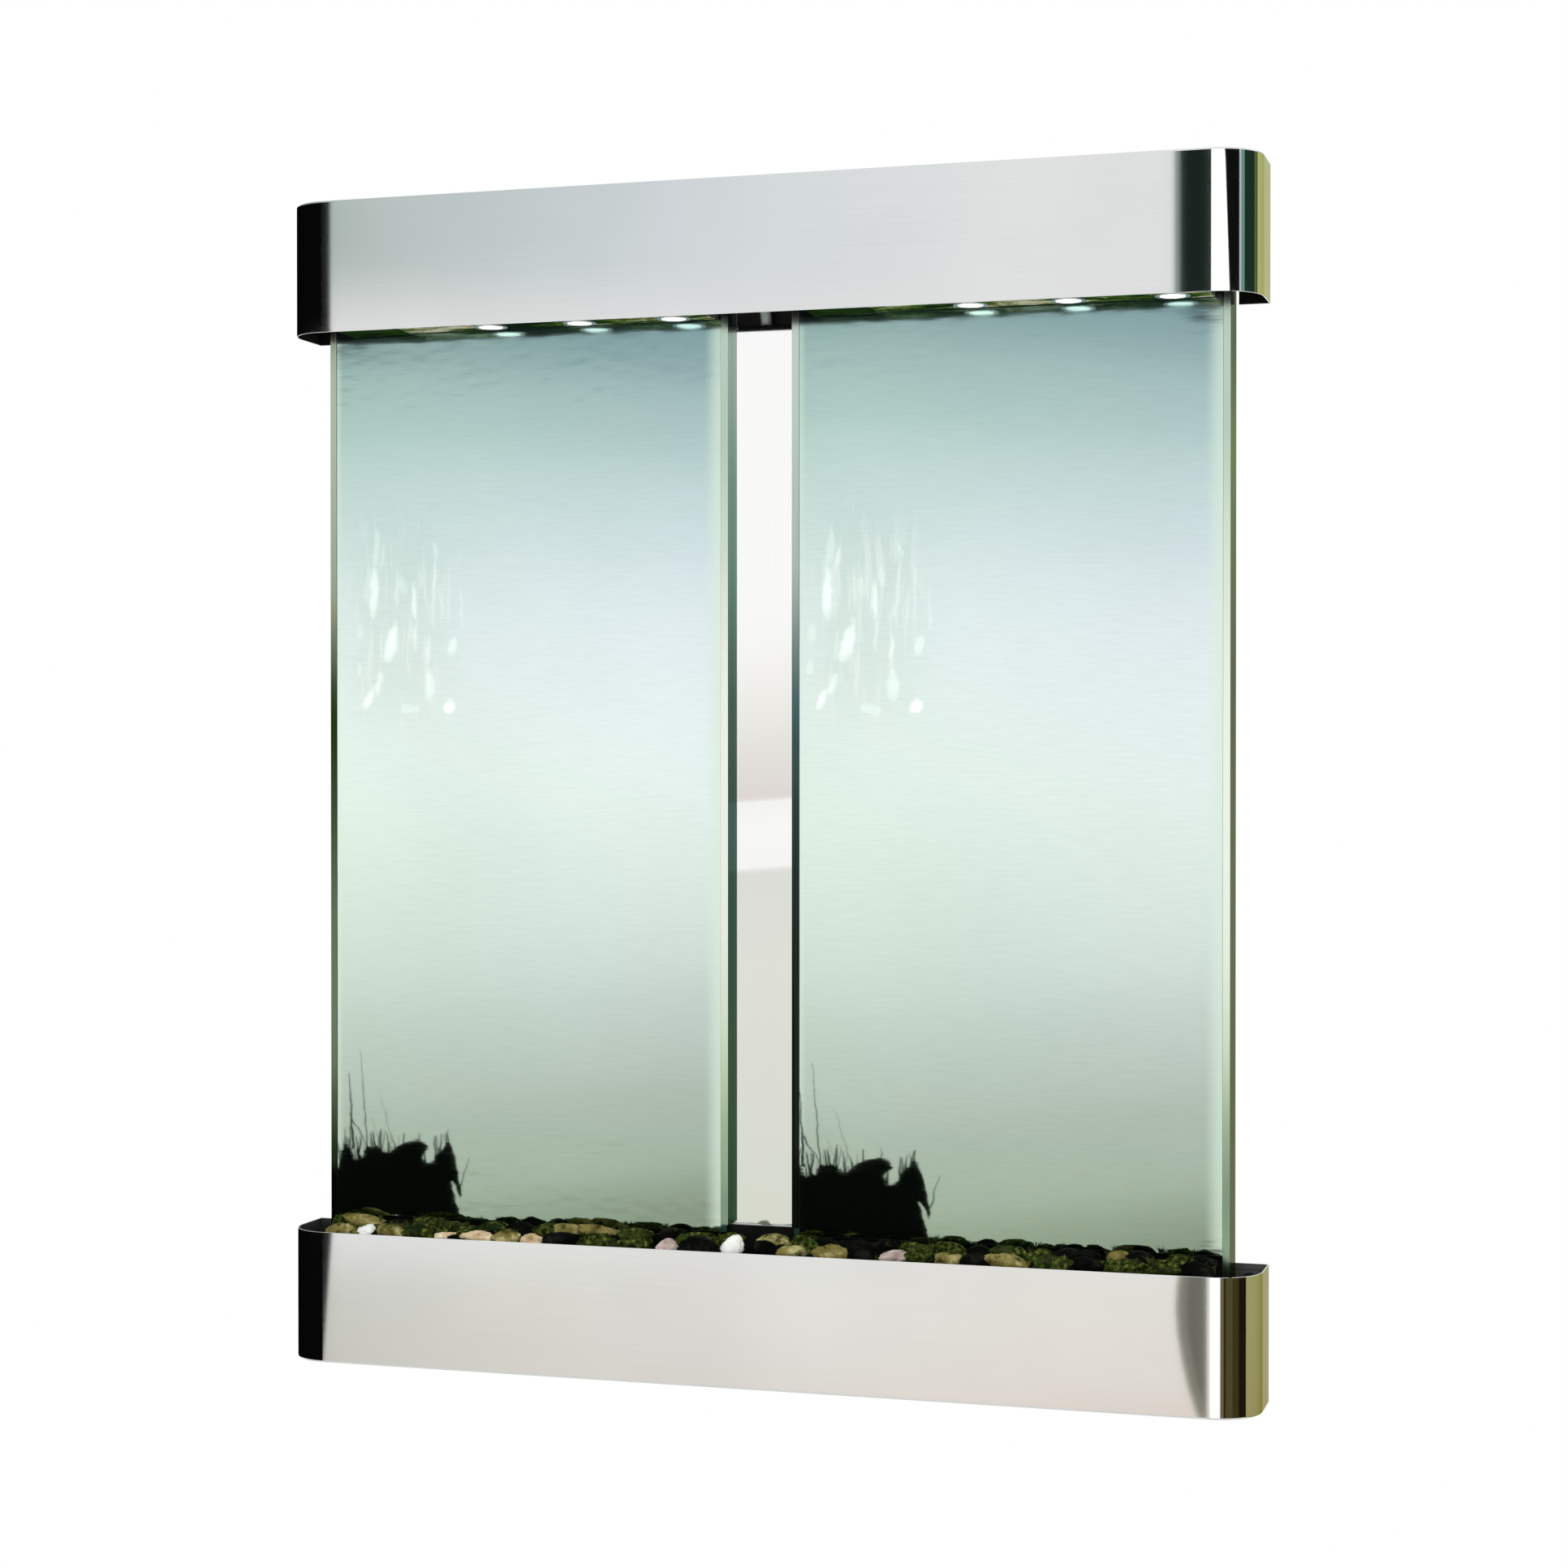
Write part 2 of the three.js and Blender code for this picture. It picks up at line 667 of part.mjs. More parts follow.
// A slotted plate on three cross walls, lifted out with the stones on it.
function stoneShelf(side, s) {
  const near = 2;
  const pitch = 60;
  const margin = 9;
  const slots = [];
  for (let x = near + pitch; x < SHELF_END - pitch / 2; x += pitch) {
    const across = [s * (x - 6), s * (x + 6)];
    slots.push(box(across, [SHELF_FRONT + margin, SHELF_BACK - margin], [SHELF_TOP - 10, SHELF_TOP + 10]));
  }
  const floor = SHEET + 0.5 + LINER_WALL + GAP;
  const walls = WALL_XS.map((x) => {
    const across = [s * (x - 4), s * (x + 4)];
    return box(across, [SHELF_FRONT + 6, SHELF_BACK - 6], [floor, SHELF_TOP - 1]);
  });
  const plate = box([s * near, s * SHELF_END], [SHELF_FRONT, SHELF_BACK], [SHELF_TOP - SHELF_SHEET, SHELF_TOP]);
  add(`stone_shelf_${side}`, surface(cut(join(plate, ...walls), ...slots)), blackPlastic);
}

// A repeatable number from 0 to 1.
function scatter(n) {
  const wave = Math.sin(n * 12.9898 + 4.1) * 43758.5453;
  return wave - Math.floor(wave);
}

// The river stones of one half, as one heap: two rows of stones on a shallow bed of small ones.
function stoneHeap(side, s) {
  const bedTop = 184;
  const near = 5;
  const far = SHELF_END - 3;
  const columns = 15;
  const pitch = (far - near - 44) / (columns - 1);
  let heap = solid(
    box([s * near, s * far], [-128, -73], [SHELF_TOP + GAP, bedTop]),
  );
  for (let i = 0; i < columns; i++) {
    for (const [row, y, lift] of [
      [0, -113, 6],
      [1, -90, 18],
    ]) {
      const seed = 17 * i + 5 * row + (s > 0 ? 300 : 0);
      const size = [23 + 6 * scatter(seed), 15 + 2 * scatter(seed + 1), 14 + 6 * scatter(seed + 2)];
      const pebble = new THREE.IcosahedronGeometry(1, 0)
        .rotateX(scatter(seed + 3) * Math.PI)
        .rotateZ(scatter(seed + 4) * Math.PI)
        .scale(...size)
        .translate(s * (near + 22 + i * pitch), y, bedTop + lift);
      heap = heap.add(solid(pebble));
    }
  }
  add(`stone_heap_${side}`, surface(heap), stone);
}

wallCleat();
frameCleat();
frameRails();
centreDivider();
hoseGuard();
dripApron();
hood();
pump();
impeller();
riserHose();
teeFitting();
tray();
reservoirLiner();
for (const [side, s] of SIDES) {
  wallBumper(side, s);
  stiles(side, s);
  midRail(side, s);
  panel(side, s);
  trims(side, s);
  trayHanger(side, s);
  hoodBracket(side, s);
  valve(side, s);
  sprayBar(side, s);
  lightBar(side);
  HANGER_OFFSETS.forEach((offset, i) => barHanger(side, i + 1, LIGHT_STARTS[side] + offset));
  stoneShelf(side, s);
  stoneHeap(side, s);
}

export default fountain;
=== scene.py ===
import math
import random

import bmesh
import bpy
from mathutils import Matrix, Vector, noise


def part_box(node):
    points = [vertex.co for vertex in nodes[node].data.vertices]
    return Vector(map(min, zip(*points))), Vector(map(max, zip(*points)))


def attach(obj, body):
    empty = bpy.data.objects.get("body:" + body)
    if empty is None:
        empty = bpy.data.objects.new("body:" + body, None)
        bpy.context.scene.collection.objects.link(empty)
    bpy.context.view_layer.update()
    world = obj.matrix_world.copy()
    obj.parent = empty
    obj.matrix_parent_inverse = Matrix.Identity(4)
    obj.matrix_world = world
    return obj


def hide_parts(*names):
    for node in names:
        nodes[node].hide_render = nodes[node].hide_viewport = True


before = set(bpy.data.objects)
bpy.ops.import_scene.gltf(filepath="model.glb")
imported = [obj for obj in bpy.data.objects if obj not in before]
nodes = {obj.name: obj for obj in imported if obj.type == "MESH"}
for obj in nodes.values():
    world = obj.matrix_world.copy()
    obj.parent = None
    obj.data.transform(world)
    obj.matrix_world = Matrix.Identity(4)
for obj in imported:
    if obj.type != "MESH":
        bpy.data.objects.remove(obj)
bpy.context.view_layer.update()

SIDES = {"left": -1, "right": 1}
ROOT = "fountain_frame"

# --- Camera ---------------------------------------------------------------------------------------

camera_data = bpy.data.cameras.new("camera")
camera = bpy.data.objects.new("camera", camera_data)
bpy.context.scene.collection.objects.link(camera)
bpy.context.scene.camera = camera
camera_data.sensor_width = 36
camera_data.lens = 66.56
camera.location = (1.2502, -4.1269, -0.7912)
camera.rotation_euler = (math.pi / 2 - 0.0079, 0, 0.2903)


# --- Materials ------------------------------------------------------------------------------------

class Paint:
    """A material: a principled shader and short calls for the nodes that feed it."""

    def __init__(self, name, **settings):
        self.material = bpy.data.materials.new(name)
        self.material.use_nodes = True
        self.tree = self.material.node_tree
        self.shader = self.tree.nodes["Principled BSDF"]
        place = self.tree.nodes.new("ShaderNodeTexCoord")
        self.coordinates = place.outputs["Object"]
        self.surface_normal = place.outputs["Normal"]
        for key, value in settings.items():
            self.shader.inputs[key.replace("_", " ")].default_value = value

    def link(self, output, target):
        self.tree.links.new(output, target)

    def feed(self, key, output):
        self.link(output, self.shader.inputs[key])

    def stretched(self, scale):
        mapping = self.tree.nodes.new("ShaderNodeMapping")
        mapping.inputs["Scale"].default_value = scale
        self.link(self.coordinates, mapping.inputs["Vector"])
        return mapping.outputs["Vector"]

    def noise(self, scale, stretch=(1, 1, 1), detail=4, roughness=0.5, distortion=0):
        node = self.tree.nodes.new("ShaderNodeTexNoise")
        node.inputs["Scale"].default_value = scale
        node.inputs["Detail"].default_value = detail
        node.inputs["Roughness"].default_value = roughness
        node.inputs["Distortion"].default_value = distortion
        self.link(self.stretched(stretch), node.inputs["Vector"])
        return node.outputs["Fac"]

    def cells(self, scale, stretch=(1, 1, 1)):
        node = self.tree.nodes.new("ShaderNodeTexVoronoi")
        node.inputs["Scale"].default_value = scale
        self.link(self.stretched(stretch), node.inputs["Vector"])
        return node.outputs["Distance"]

    def axis(self, name):
        node = self.tree.nodes.new("ShaderNodeSeparateXYZ")
        self.link(self.coordinates, node.inputs[0])
        return node.outputs[name]

    def facing(self, name):
        """One part of the surface's own direction."""
        node = self.tree.nodes.new("ShaderNodeSeparateXYZ")
        self.link(self.surface_normal, node.inputs[0])
        return node.outputs[name]

    def ramp(self, factor, stops, interpolation="EASE"):
        node = self.tree.nodes.new("ShaderNodeValToRGB")
        node.color_ramp.interpolation = interpolation
        elements = node.color_ramp.elements
        while len(elements) < len(stops):
            elements.new(0.5)
        for element, (place, colour) in zip(elements, stops):
            element.position = place
            element.color = (*colour, 1) if isinstance(colour, tuple) else (colour,) * 3 + (1,)
        self.link(factor, node.inputs["Fac"])
        return node.outputs["Color"]

    def span(self, value, low, high, out_low=0.0, out_high=1.0, smooth=False):
        node = self.tree.nodes.new("ShaderNodeMapRange")
        if smooth:
            node.interpolation_type = "SMOOTHSTEP"
        for key, number in zip(("From Min", "From Max", "To Min", "To Max"), (low, high, out_low, out_high)):
            node.inputs[key].default_value = number
        self.link(value, node.inputs["Value"])
        return node.outputs["Result"]

    def maths(self, operation, a, b):
        node = self.tree.nodes.new("ShaderNodeMath")
        node.operation = operation
        for socket, value in zip(node.inputs, (a, b)):
            if isinstance(value, (int, float)):
                socket.default_value = value
            else:
                self.link(value, socket)
        return node.outputs["Value"]

    def mix(self, factor, a, b, blend="MIX"):
        node = self.tree.nodes.new("ShaderNodeMix")
        node.data_type = "RGBA"
        node.blend_type = blend
        if isinstance(factor, (int, float)):
            node.inputs["Factor"].default_value = factor
        else:
            self.link(factor, node.inputs["Factor"])
        for socket, value in ((node.inputs["A"], a), (node.inputs["B"], b)):
            if isinstance(value, tuple):
                socket.default_value = (*value, 1)
            else:
                self.link(value, socket)
        return node.outputs["Result"]

    def bump(self, height, strength=0.3, distance=0.001):
        node = self.tree.nodes.new("ShaderNodeBump")
        node.inputs["Strength"].default_value = strength
        node.inputs["Distance"].default_value = distance
        self.link(height, node.inputs["Height"])
        self.feed("Normal", node.outputs["Normal"])
        return self


def brushed(name, dark, light, low, high, stretch=(2, 400, 400), strength=0.08, **settings):
    """Brushed metal: fine streaks in its colour, gloss and relief."""
    paint = Paint(name, Metallic=1.0, **settings)
    streak = paint.noise(1.0, stretch, detail=6, roughness=0.65)
    cloud = paint.noise(3.5, detail=3)
    colour = paint.mix(paint.span(streak, 0.3, 0.7), dark, light)
    shade = paint.ramp(cloud, [(0.3, 0.955), (0.7, 1.0)])
    paint.feed("Base Color", paint.mix(1.0, colour, shade, "MULTIPLY"))
    paint.feed("Roughness", paint.span(streak, 0.25, 0.75, low, high))
    return paint.bump(streak, strength, 0.0002).material


def moulded(name, dark, light, rough, grain=900, relief=0.12, **settings):
    """Moulded plastic or rubber: a fine grain, faint cloudy wear in the colour and the gloss."""
    paint = Paint(name, **settings)
    cloud = paint.noise(14, detail=5, roughness=0.6)
    fine = paint.noise(grain, detail=3)
    paint.feed("Base Color", paint.mix(paint.span(cloud, 0.35, 0.65), dark, light))
    paint.feed("Roughness", paint.span(cloud, 0.3, 0.7, rough - 0.08, rough + 0.08))
    return paint.bump(fine, relief, 0.0003).material


steel_face = brushed("steel_satin", (0.79, 0.79, 0.79), (0.82, 0.82, 0.815), 0.05, 0.065, strength=0.02)
# The right ends of the hood and the tray: steel with a green-gold painted reflection of leaves in its colour and its
# specular tint.
hood_end_painted_reflection = brushed(
    "steel_hood_right_painted_reflection", (0.46, 0.47, 0.22), (0.48, 0.49, 0.23), 0.05, 0.065, strength=0.02,
    Specular_Tint=(0.64, 0.65, 0.38, 1),
)
tray_end_painted_reflection = brushed(
    "steel_tray_right_painted_reflection", (0.34, 0.33, 0.155), (0.36, 0.35, 0.165), 0.05, 0.065, strength=0.02,
    Specular_Tint=(0.53, 0.52, 0.3, 1),
)
lamp_ring = brushed("lamp_ring", (0.6, 0.6, 0.58), (0.78, 0.78, 0.75), 0.15, 0.3, (300, 300, 300))
steel_inside = brushed("steel_inside", (0.42, 0.43, 0.43), (0.58, 0.59, 0.59), 0.25, 0.4)
alloy = brushed("frame_alloy", (0.5, 0.51, 0.52), (0.66, 0.67, 0.68), 0.32, 0.48, (3, 300, 300))
alloy_upright = brushed("frame_alloy_upright", (0.5, 0.51, 0.52), (0.66, 0.67, 0.68), 0.32, 0.48, (300, 300, 3))
brass = brushed("brass", (0.52, 0.37, 0.15), (0.74, 0.56, 0.27), 0.22, 0.38, (60, 60, 60))
# Near-black painted shade: it stands in for the deep shadow inside the hood and on the drip apron.
painted_shade_black = moulded(
    "painted_shade_black_coat", (0.003, 0.004, 0.003), (0.012, 0.012, 0.011), 0.85, 400, 0.4, Specular_IOR_Level=0.1,
)
black_plastic = moulded("black_plastic", (0.010, 0.010, 0.011), (0.028, 0.028, 0.03), 0.42)
white_plastic = moulded("white_plastic", (0.62, 0.62, 0.58), (0.78, 0.78, 0.75), 0.4)
# Dark plastic for the lamp drivers; its green is a painted reflection of leaves.
driver_case_painted_reflection = moulded(
    "driver_case_painted_reflection", (0.002, 0.008, 0.001), (0.02, 0.06, 0.008), 0.7, 60, 0.3, Specular_IOR_Level=0.01,
)
grip = moulded("red_grip", (0.36, 0.02, 0.015), (0.5, 0.04, 0.03), 0.45, 500, 0.3)
rubber = moulded("black_rubber", (0.012, 0.012, 0.012), (0.03, 0.03, 0.03), 0.75, 700, 0.3)
board = moulded("backing_board", (0.055, 0.06, 0.058), (0.1, 0.105, 0.1), 0.8, 250, 0.35)


# The trims' and the divider's painted reflections run with the height between these two.
MIRRORED_FOOT, MIRRORED_HEAD = -1.5, -0.15  # heights between which the trims and the divider change their tone


def trim_material(name, front, side, edge_on):
    """Satin trim beside the glass. Its tone is a painted reflection that runs with the height: one way on its front,
    another on its side.
    """
    paint = Paint(name, Metallic=1.0, Specular_Tint=(*edge_on, 1))
    streak = paint.noise(1.0, (400, 400, 2), detail=6, roughness=0.65)
    drift = paint.maths("ADD", paint.axis("Z"), paint.span(paint.noise(3, detail=3), 0.3, 0.7, -0.04, 0.04))
    height = paint.span(drift, MIRRORED_FOOT, MIRRORED_HEAD)
    turned = paint.span(paint.maths("ABSOLUTE", paint.facing("X"), 0), 0.4, 0.6)
    # The painted reflection: one ramp by height for the front, one for the side.
    tone = paint.mix(turned, paint.ramp(height, front, "CARDINAL"), paint.ramp(height, side, "CARDINAL"))
    paint.feed("Base Color", paint.mix(paint.span(streak, 0.3, 0.7, 0.0, 0.03), tone, (0.8, 0.85, 0.75)))
    paint.feed("Roughness", paint.span(streak, 0.25, 0.75, 0.16, 0.28))
    return paint.bump(streak, 0.05, 0.0002).material


# The reflections painted on each trim, from its foot to its head: pale water on the right of a panel, dark leaves on
# the left.
PALE_FRONT_PAINTED_REFLECTION = [
    (0.08, (0.26, 0.36, 0.25)), (0.20, (0.56, 0.68, 0.50)), (0.34, (0.84, 0.90, 0.80)), (0.60, (0.88, 0.93, 0.84)),
    (0.74, (0.72, 0.80, 0.70)), (0.86, (0.52, 0.64, 0.54)), (1.00, (0.56, 0.68, 0.58)),
]
DARK_FRONT_PAINTED_REFLECTION = [
    (0.10, (0.003, 0.006, 0.003)), (0.34, (0.009, 0.016, 0.013)), (0.47, (0.03, 0.055, 0.055)),
    (0.60, (0.10, 0.165, 0.17)), (0.72, (0.40, 0.47, 0.43)), (0.86, (0.52, 0.62, 0.56)), (1.00, (0.60, 0.68, 0.62)),
]
OUTER_FRONT_PAINTED_REFLECTION = [
    (0.02, (0.02, 0.035, 0.012)), (0.10, (0.03, 0.05, 0.018)), (0.20, (0.14, 0.18, 0.10)), (0.34, (0.11, 0.16, 0.09)),
    (0.46, (0.04, 0.065, 0.025)), (0.61, (0.045, 0.07, 0.028)), (0.72, (0.31, 0.35, 0.24)),
    (0.86, (0.43, 0.50, 0.39)), (1.00, (0.55, 0.62, 0.46)),
]
INNER_SIDE_PAINTED_REFLECTION = [
    (0.08, (0.04, 0.08, 0.03)), (0.22, (0.045, 0.085, 0.045)), (0.34, (0.03, 0.08, 0.065)),
    (0.50, (0.06, 0.11, 0.10)), (0.62, (0.08, 0.135, 0.12)), (0.74, (0.15, 0.26, 0.21)),
    (0.86, (0.28, 0.38, 0.33)), (1.00, (0.46, 0.54, 0.49)),
]
OUTER_SIDE_PAINTED_REFLECTION = [
    (0.08, (0.07, 0.08, 0.025)), (0.22, (0.05, 0.07, 0.015)), (0.36, (0.09, 0.12, 0.04)),
    (0.48, (0.08, 0.09, 0.045)), (0.60, (0.025, 0.03, 0.012)), (0.72, (0.13, 0.14, 0.10)),
    (0.85, (0.24, 0.30, 0.21)), (0.97, (0.04, 0.065, 0.035)),
]


def divider_material():
    """Bright satin steel. Its colour carries a painted reflection that runs with the height: from its foot up, a pale
    floor, a window, a wall and the open sky.
    """
    paint = Paint("steel_divider_painted_reflection", Metallic=1.0)
    streak = paint.noise(1.0, (500, 500, 3), detail=6, roughness=0.65)
    slope = paint.maths("ADD", paint.axis("Z"), paint.maths("MULTIPLY", paint.axis("X"), -0.08))
    # Painted reflection by height, slanting a little across the width.
    tone = paint.ramp(paint.span(slope, MIRRORED_FOOT, MIRRORED_HEAD), [
        (0.0, (0.71, 0.73, 0.64)),
        (0.30, (0.775, 0.78, 0.72)),
        (0.405, (0.76, 0.76, 0.72)),
        (0.409, (0.96, 0.96, 0.94)),
        (0.45, (0.99, 0.99, 0.97)),
        (0.481, (0.95, 0.95, 0.93)),
        (0.485, (0.77, 0.72, 0.70)),
        (0.52, (0.80, 0.77, 0.735)),
        (0.563, (0.86, 0.84, 0.80)),
        (0.607, (0.93, 0.91, 0.88)),
        (0.652, (0.98, 0.97, 0.955)),
        (0.70, (1.0, 1.0, 0.99)),
    ], "LINEAR")
    shade = paint.ramp(streak, [(0.3, 0.985), (0.7, 1.0)])
    paint.feed("Base Color", paint.mix(1.0, tone, shade, "MULTIPLY"))
    paint.feed("Roughness", paint.span(streak, 0.25, 0.75, 0.04, 0.07))
    return paint.bump(streak, 0.02, 0.0002).material


def hose_material():
    paint = Paint("clear_vinyl", IOR=1.45, Transmission_Weight=0.55)
    bands = paint.noise(1, (40, 40, 160), detail=3)
    paint.feed("Base Color", paint.mix(bands, (0.62, 0.74, 0.72), (0.86, 0.92, 0.9)))
    paint.feed("Roughness", paint.span(bands, 0.3, 0.7, 0.12, 0.25))
    return paint.bump(bands, 0.15, 0.0005).material


def mirror_material():
    """Edge and back of the glass: green edge, dark silvering."""
    paint = Paint("mirror_glass", Metallic=0.6)
    cloud = paint.noise(6, detail=4)
    paint.feed("Base Color", paint.mix(cloud, (0.03, 0.075, 0.055), (0.06, 0.13, 0.1)))
    paint.feed("Roughness", paint.span(cloud, 0.3, 0.7, 0.1, 0.2))
    return paint.bump(paint.noise(120), 0.1, 0.0003).material


def wet_mirror_material(name, glass_left, glass_right):
    """Mirror glass under running water. Its colour is a painted reflection that follows the height, darker teal at
    the top as painted shade under the hood, with ripples painted light and dark, a painted hazy gleam with bright
    streaks high at the left, and paler green towards the side edges.
    """
    bottom, top = -1.485, -0.15
    pad = 0.05 * (top - bottom)
    paint = Paint(name, Metallic=1.0, Coat_Weight=0.25, Coat_Roughness=0.04, Coat_IOR=1.33)
    height = paint.span(paint.axis("Z"), bottom - pad, top + pad)
    across = paint.span(paint.axis("X"), glass_left, glass_right)
    lean = paint.maths("MULTIPLY", paint.maths("SUBTRACT", height, 0.56), paint.span(across, 0.2, 1.0, 0.0, 0.13))
    # Painted reflection and painted shade by height: dark teal under the hood, pale in the middle, green-grey at the
    # foot.
    body = paint.ramp(paint.maths("ADD", height, lean), [
        (0.0, (0.27, 0.35, 0.25)),
        (0.06, (0.39, 0.49, 0.38)),
        (0.16, (0.49, 0.58, 0.50)),
        (0.28, (0.65, 0.76, 0.69)),
        (0.45, (0.81, 0.93, 0.86)),
        (0.60, (0.84, 0.94, 0.925)),
        (0.72, (0.73, 0.85, 0.85)),
        (0.84, (0.53, 0.69, 0.67)),
        (0.93, (0.37, 0.52, 0.51)),
        (1.0, (0.24, 0.38, 0.39)),
    ], "CARDINAL")
    wavelets = paint.noise(1, (24, 1, 240), detail=3, roughness=0.5, distortion=0.5)
    # Ripples painted as faint light and shade.
    ripple = paint.ramp(wavelets, [(0.25, 0.975), (0.75, 1.015)])
    body = paint.mix(1.0, body, ripple, "MULTIPLY")
    drift = paint.ramp(paint.noise(2.4, (1, 1, 0.7), detail=3), [(0.3, 0.96), (0.7, 1.0)])
    body = paint.mix(1.0, body, drift, "MULTIPLY")
    tint = paint.mix(across, (0.975, 1.0, 0.965), (1.0, 0.985, 1.02))
    body = paint.mix(1.0, body, tint, "MULTIPLY")
    edge = paint.maths(
        "MAXIMUM",
        paint.span(across, 0.955, 0.998, 0, 0.6, smooth=True),
        paint.span(across, 0.018, 0.0, 0, 0.4, smooth=True),
    )
    body = paint.mix(edge, body, (0.74, 0.90, 0.76))

    def between(value, rise, fall):
        return paint.maths("MULTIPLY", paint.span(value, *rise, smooth=True), paint.span(value, *fall, smooth=True))

    # Where the painted bright gleam and its streaks lie, high at the left of the glass.
    window = paint.maths(
        "MULTIPLY",
        between(across, (0.01, 0.1), (0.36, 0.2)),
        between(height, (0.52, 0.62), (0.80, 0.70)),
    )
    painted_haze = paint.mix(1.0, body, (0.93, 0.95, 0.915), "MULTIPLY")
    body = paint.mix(paint.maths("MULTIPLY", window, 0.85), body, painted_haze)
    painted_threads = paint.span(paint.noise(1, (75, 1, 9), detail=3, distortion=0.8), 0.52, 0.66, smooth=True)
    streaks = paint.maths("MULTIPLY", paint.maths("MULTIPLY", painted_threads, window), 0.4)
    paint.feed("Base Color", paint.mix(streaks, body, (0.95, 1.0, 0.96)))
    splash = paint.span(height, 0.88, 0.95, 0, 0.07, smooth=True)
    rough = paint.maths("MAXIMUM", paint.maths("MULTIPLY", window, 0.02), splash)
    paint.feed("Roughness", paint.maths("ADD", paint.span(wavelets, 0.3, 0.7, 0.05, 0.08), rough))
    return paint.bump(wavelets, 0.1, 0.0004).material


def light_plate_material():
    """A light bar: plain alloy above, and a dark underside in painted shade, with a green and cream mottling of
    painted reflection.
    """
    paint = Paint("light_plate", Specular_IOR_Level=0.01)
    mottle = paint.noise(1, (9, 30, 9), detail=6, roughness=0.62, distortion=0.7)
    fleck = paint.noise(1, (120, 200, 60), detail=4, roughness=0.7)
    blend = paint.maths("ADD", mottle, paint.span(fleck, 0.3, 0.7, -0.07, 0.07))
    # Painted reflection on the underside: mottling in dark green and cream over painted shade.
    underside_painted_reflection = paint.ramp(blend, [
        (0.40, (0.003, 0.014, 0.001)),
        (0.47, (0.02, 0.07, 0.006)),
        (0.54, (0.13, 0.2, 0.03)),
        (0.62, (0.78, 0.72, 0.52)),
    ])
    below = paint.span(paint.facing("Z"), -0.5, -0.9)
    alloy_tone = paint.mix(fleck, (0.2, 0.205, 0.21), (0.34, 0.345, 0.35))
    paint.feed("Base Color", paint.mix(below, alloy_tone, underside_painted_reflection))
    paint.feed("Roughness", paint.span(fleck, 0.3, 0.7, 0.5, 0.75))
    return paint.bump(mottle, 0.2, 0.0005).material


def lens_material():
    paint = Paint("lamp_lens", Roughness=0.3, IOR=1.5)
    frost = paint.cells(420)
    paint.feed("Base Color", paint.mix(frost, (0.95, 0.93, 0.86), (1.0, 0.98, 0.92)))
    paint.feed("Emission Color", paint.mix(frost, (1.0, 0.93, 0.78), (1.0, 0.97, 0.88)))
    paint.shader.inputs["Emission Strength"].default_value = 2.2
    return paint.bump(frost, 0.3, 0.0008).material


def pebble_material(name, dark, mid, light, moss=0.0, rough=0.35):
    """A wet river pebble: mottled colour, broken gloss and moss. Negative moss makes a bare, shinier stone."""
    paint = Paint(name, Specular_IOR_Level=0.012 if moss > -0.5 else 0.3)
    blotch = paint.noise(34, detail=7, roughness=0.62, distortion=0.4)
    speck = paint.noise(210, detail=4, roughness=0.7)
    colour = paint.ramp(blotch, [(0.32, dark), (0.5, mid), (0.68, light)])
    colour = paint.mix(paint.span(speck, 0.56, 0.7, 0, 0.5), colour, dark)
    growth = paint.span(paint.noise(26, detail=6, roughness=0.7), 0.62 - 0.3 * moss, 0.72 - 0.3 * moss)
    green = paint.ramp(paint.noise(160, detail=5), [
        (0.35, (0.004, 0.009, 0.002)),
        (0.55, (0.04, 0.055, 0.01)),
        (0.72, (0.2, 0.2, 0.05)),
    ])
    paint.feed("Base Color", paint.mix(growth, colour, green))
    gloss = paint.span(blotch, 0.3, 0.7, rough - 0.12, rough + 0.12)
    paint.feed("Roughness", paint.maths("ADD", gloss, paint.maths("MULTIPLY", growth, 0.4)))
    relief = paint.maths("ADD", paint.maths("MULTIPLY", speck, 0.35), paint.maths("MULTIPLY", growth, 0.8))
    return paint.bump(relief, 0.45, 0.0018).material


pebbles = [
    pebble_material("pebble_black", (0.001, 0.001, 0.001), (0.003, 0.003, 0.0025), (0.013, 0.013, 0.01), 0.1, 0.3),
    pebble_material("pebble_moss", (0.002, 0.004, 0.001), (0.008, 0.015, 0.004), (0.05, 0.06, 0.02), 0.75, 0.65),
    pebble_material("pebble_olive", (0.03, 0.024, 0.006), (0.2, 0.165, 0.05), (0.48, 0.43, 0.2), 0.3, 0.45),
    pebble_material("pebble_cream", (0.3, 0.2, 0.09), (0.66, 0.5, 0.32), (0.86, 0.74, 0.56), 0.0, 0.4),
    pebble_material("pebble_pink", (0.2, 0.14, 0.12), (0.5, 0.39, 0.36), (0.7, 0.6, 0.56), 0.0, 0.4),
    pebble_material("pebble_white", (0.72, 0.7, 0.64), (0.88, 0.87, 0.84), (0.97, 0.97, 0.95), -1.0, 0.35),
    pebble_material("moss_tuft", (0.006, 0.012, 0.003), (0.05, 0.06, 0.015), (0.26, 0.24, 0.07), 0.3, 0.75),
]
BLACK, MOSS, OLIVE, CREAM, PINK, WHITE, TUFT = range(7)


# --- Making pieces --------------------------------------------------------------------------------

def piece(name, mesh, materials, body=ROOT, stands_for=(), sharp=40):
    mesh.update()
    mesh.polygons.foreach_set("use_smooth", [True] * len(mesh.polygons))
    mesh.set_sharp_from_angle(angle=math.radians(sharp))
    made = bpy.data.objects.new(name, mesh)
    bpy.context.scene.collection.objects.link(made)
    for material in materials:
        mesh.materials.append(material)
    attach(made, body)
    if stands_for:
        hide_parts(*stands_for)
    return made


def to_mesh(name, bm):
    bmesh.ops.recalc_face_normals(bm, faces=bm.faces)
    mesh = bpy.data.meshes.new(name)
    bm.to_mesh(mesh)
    bm.free()
    return mesh


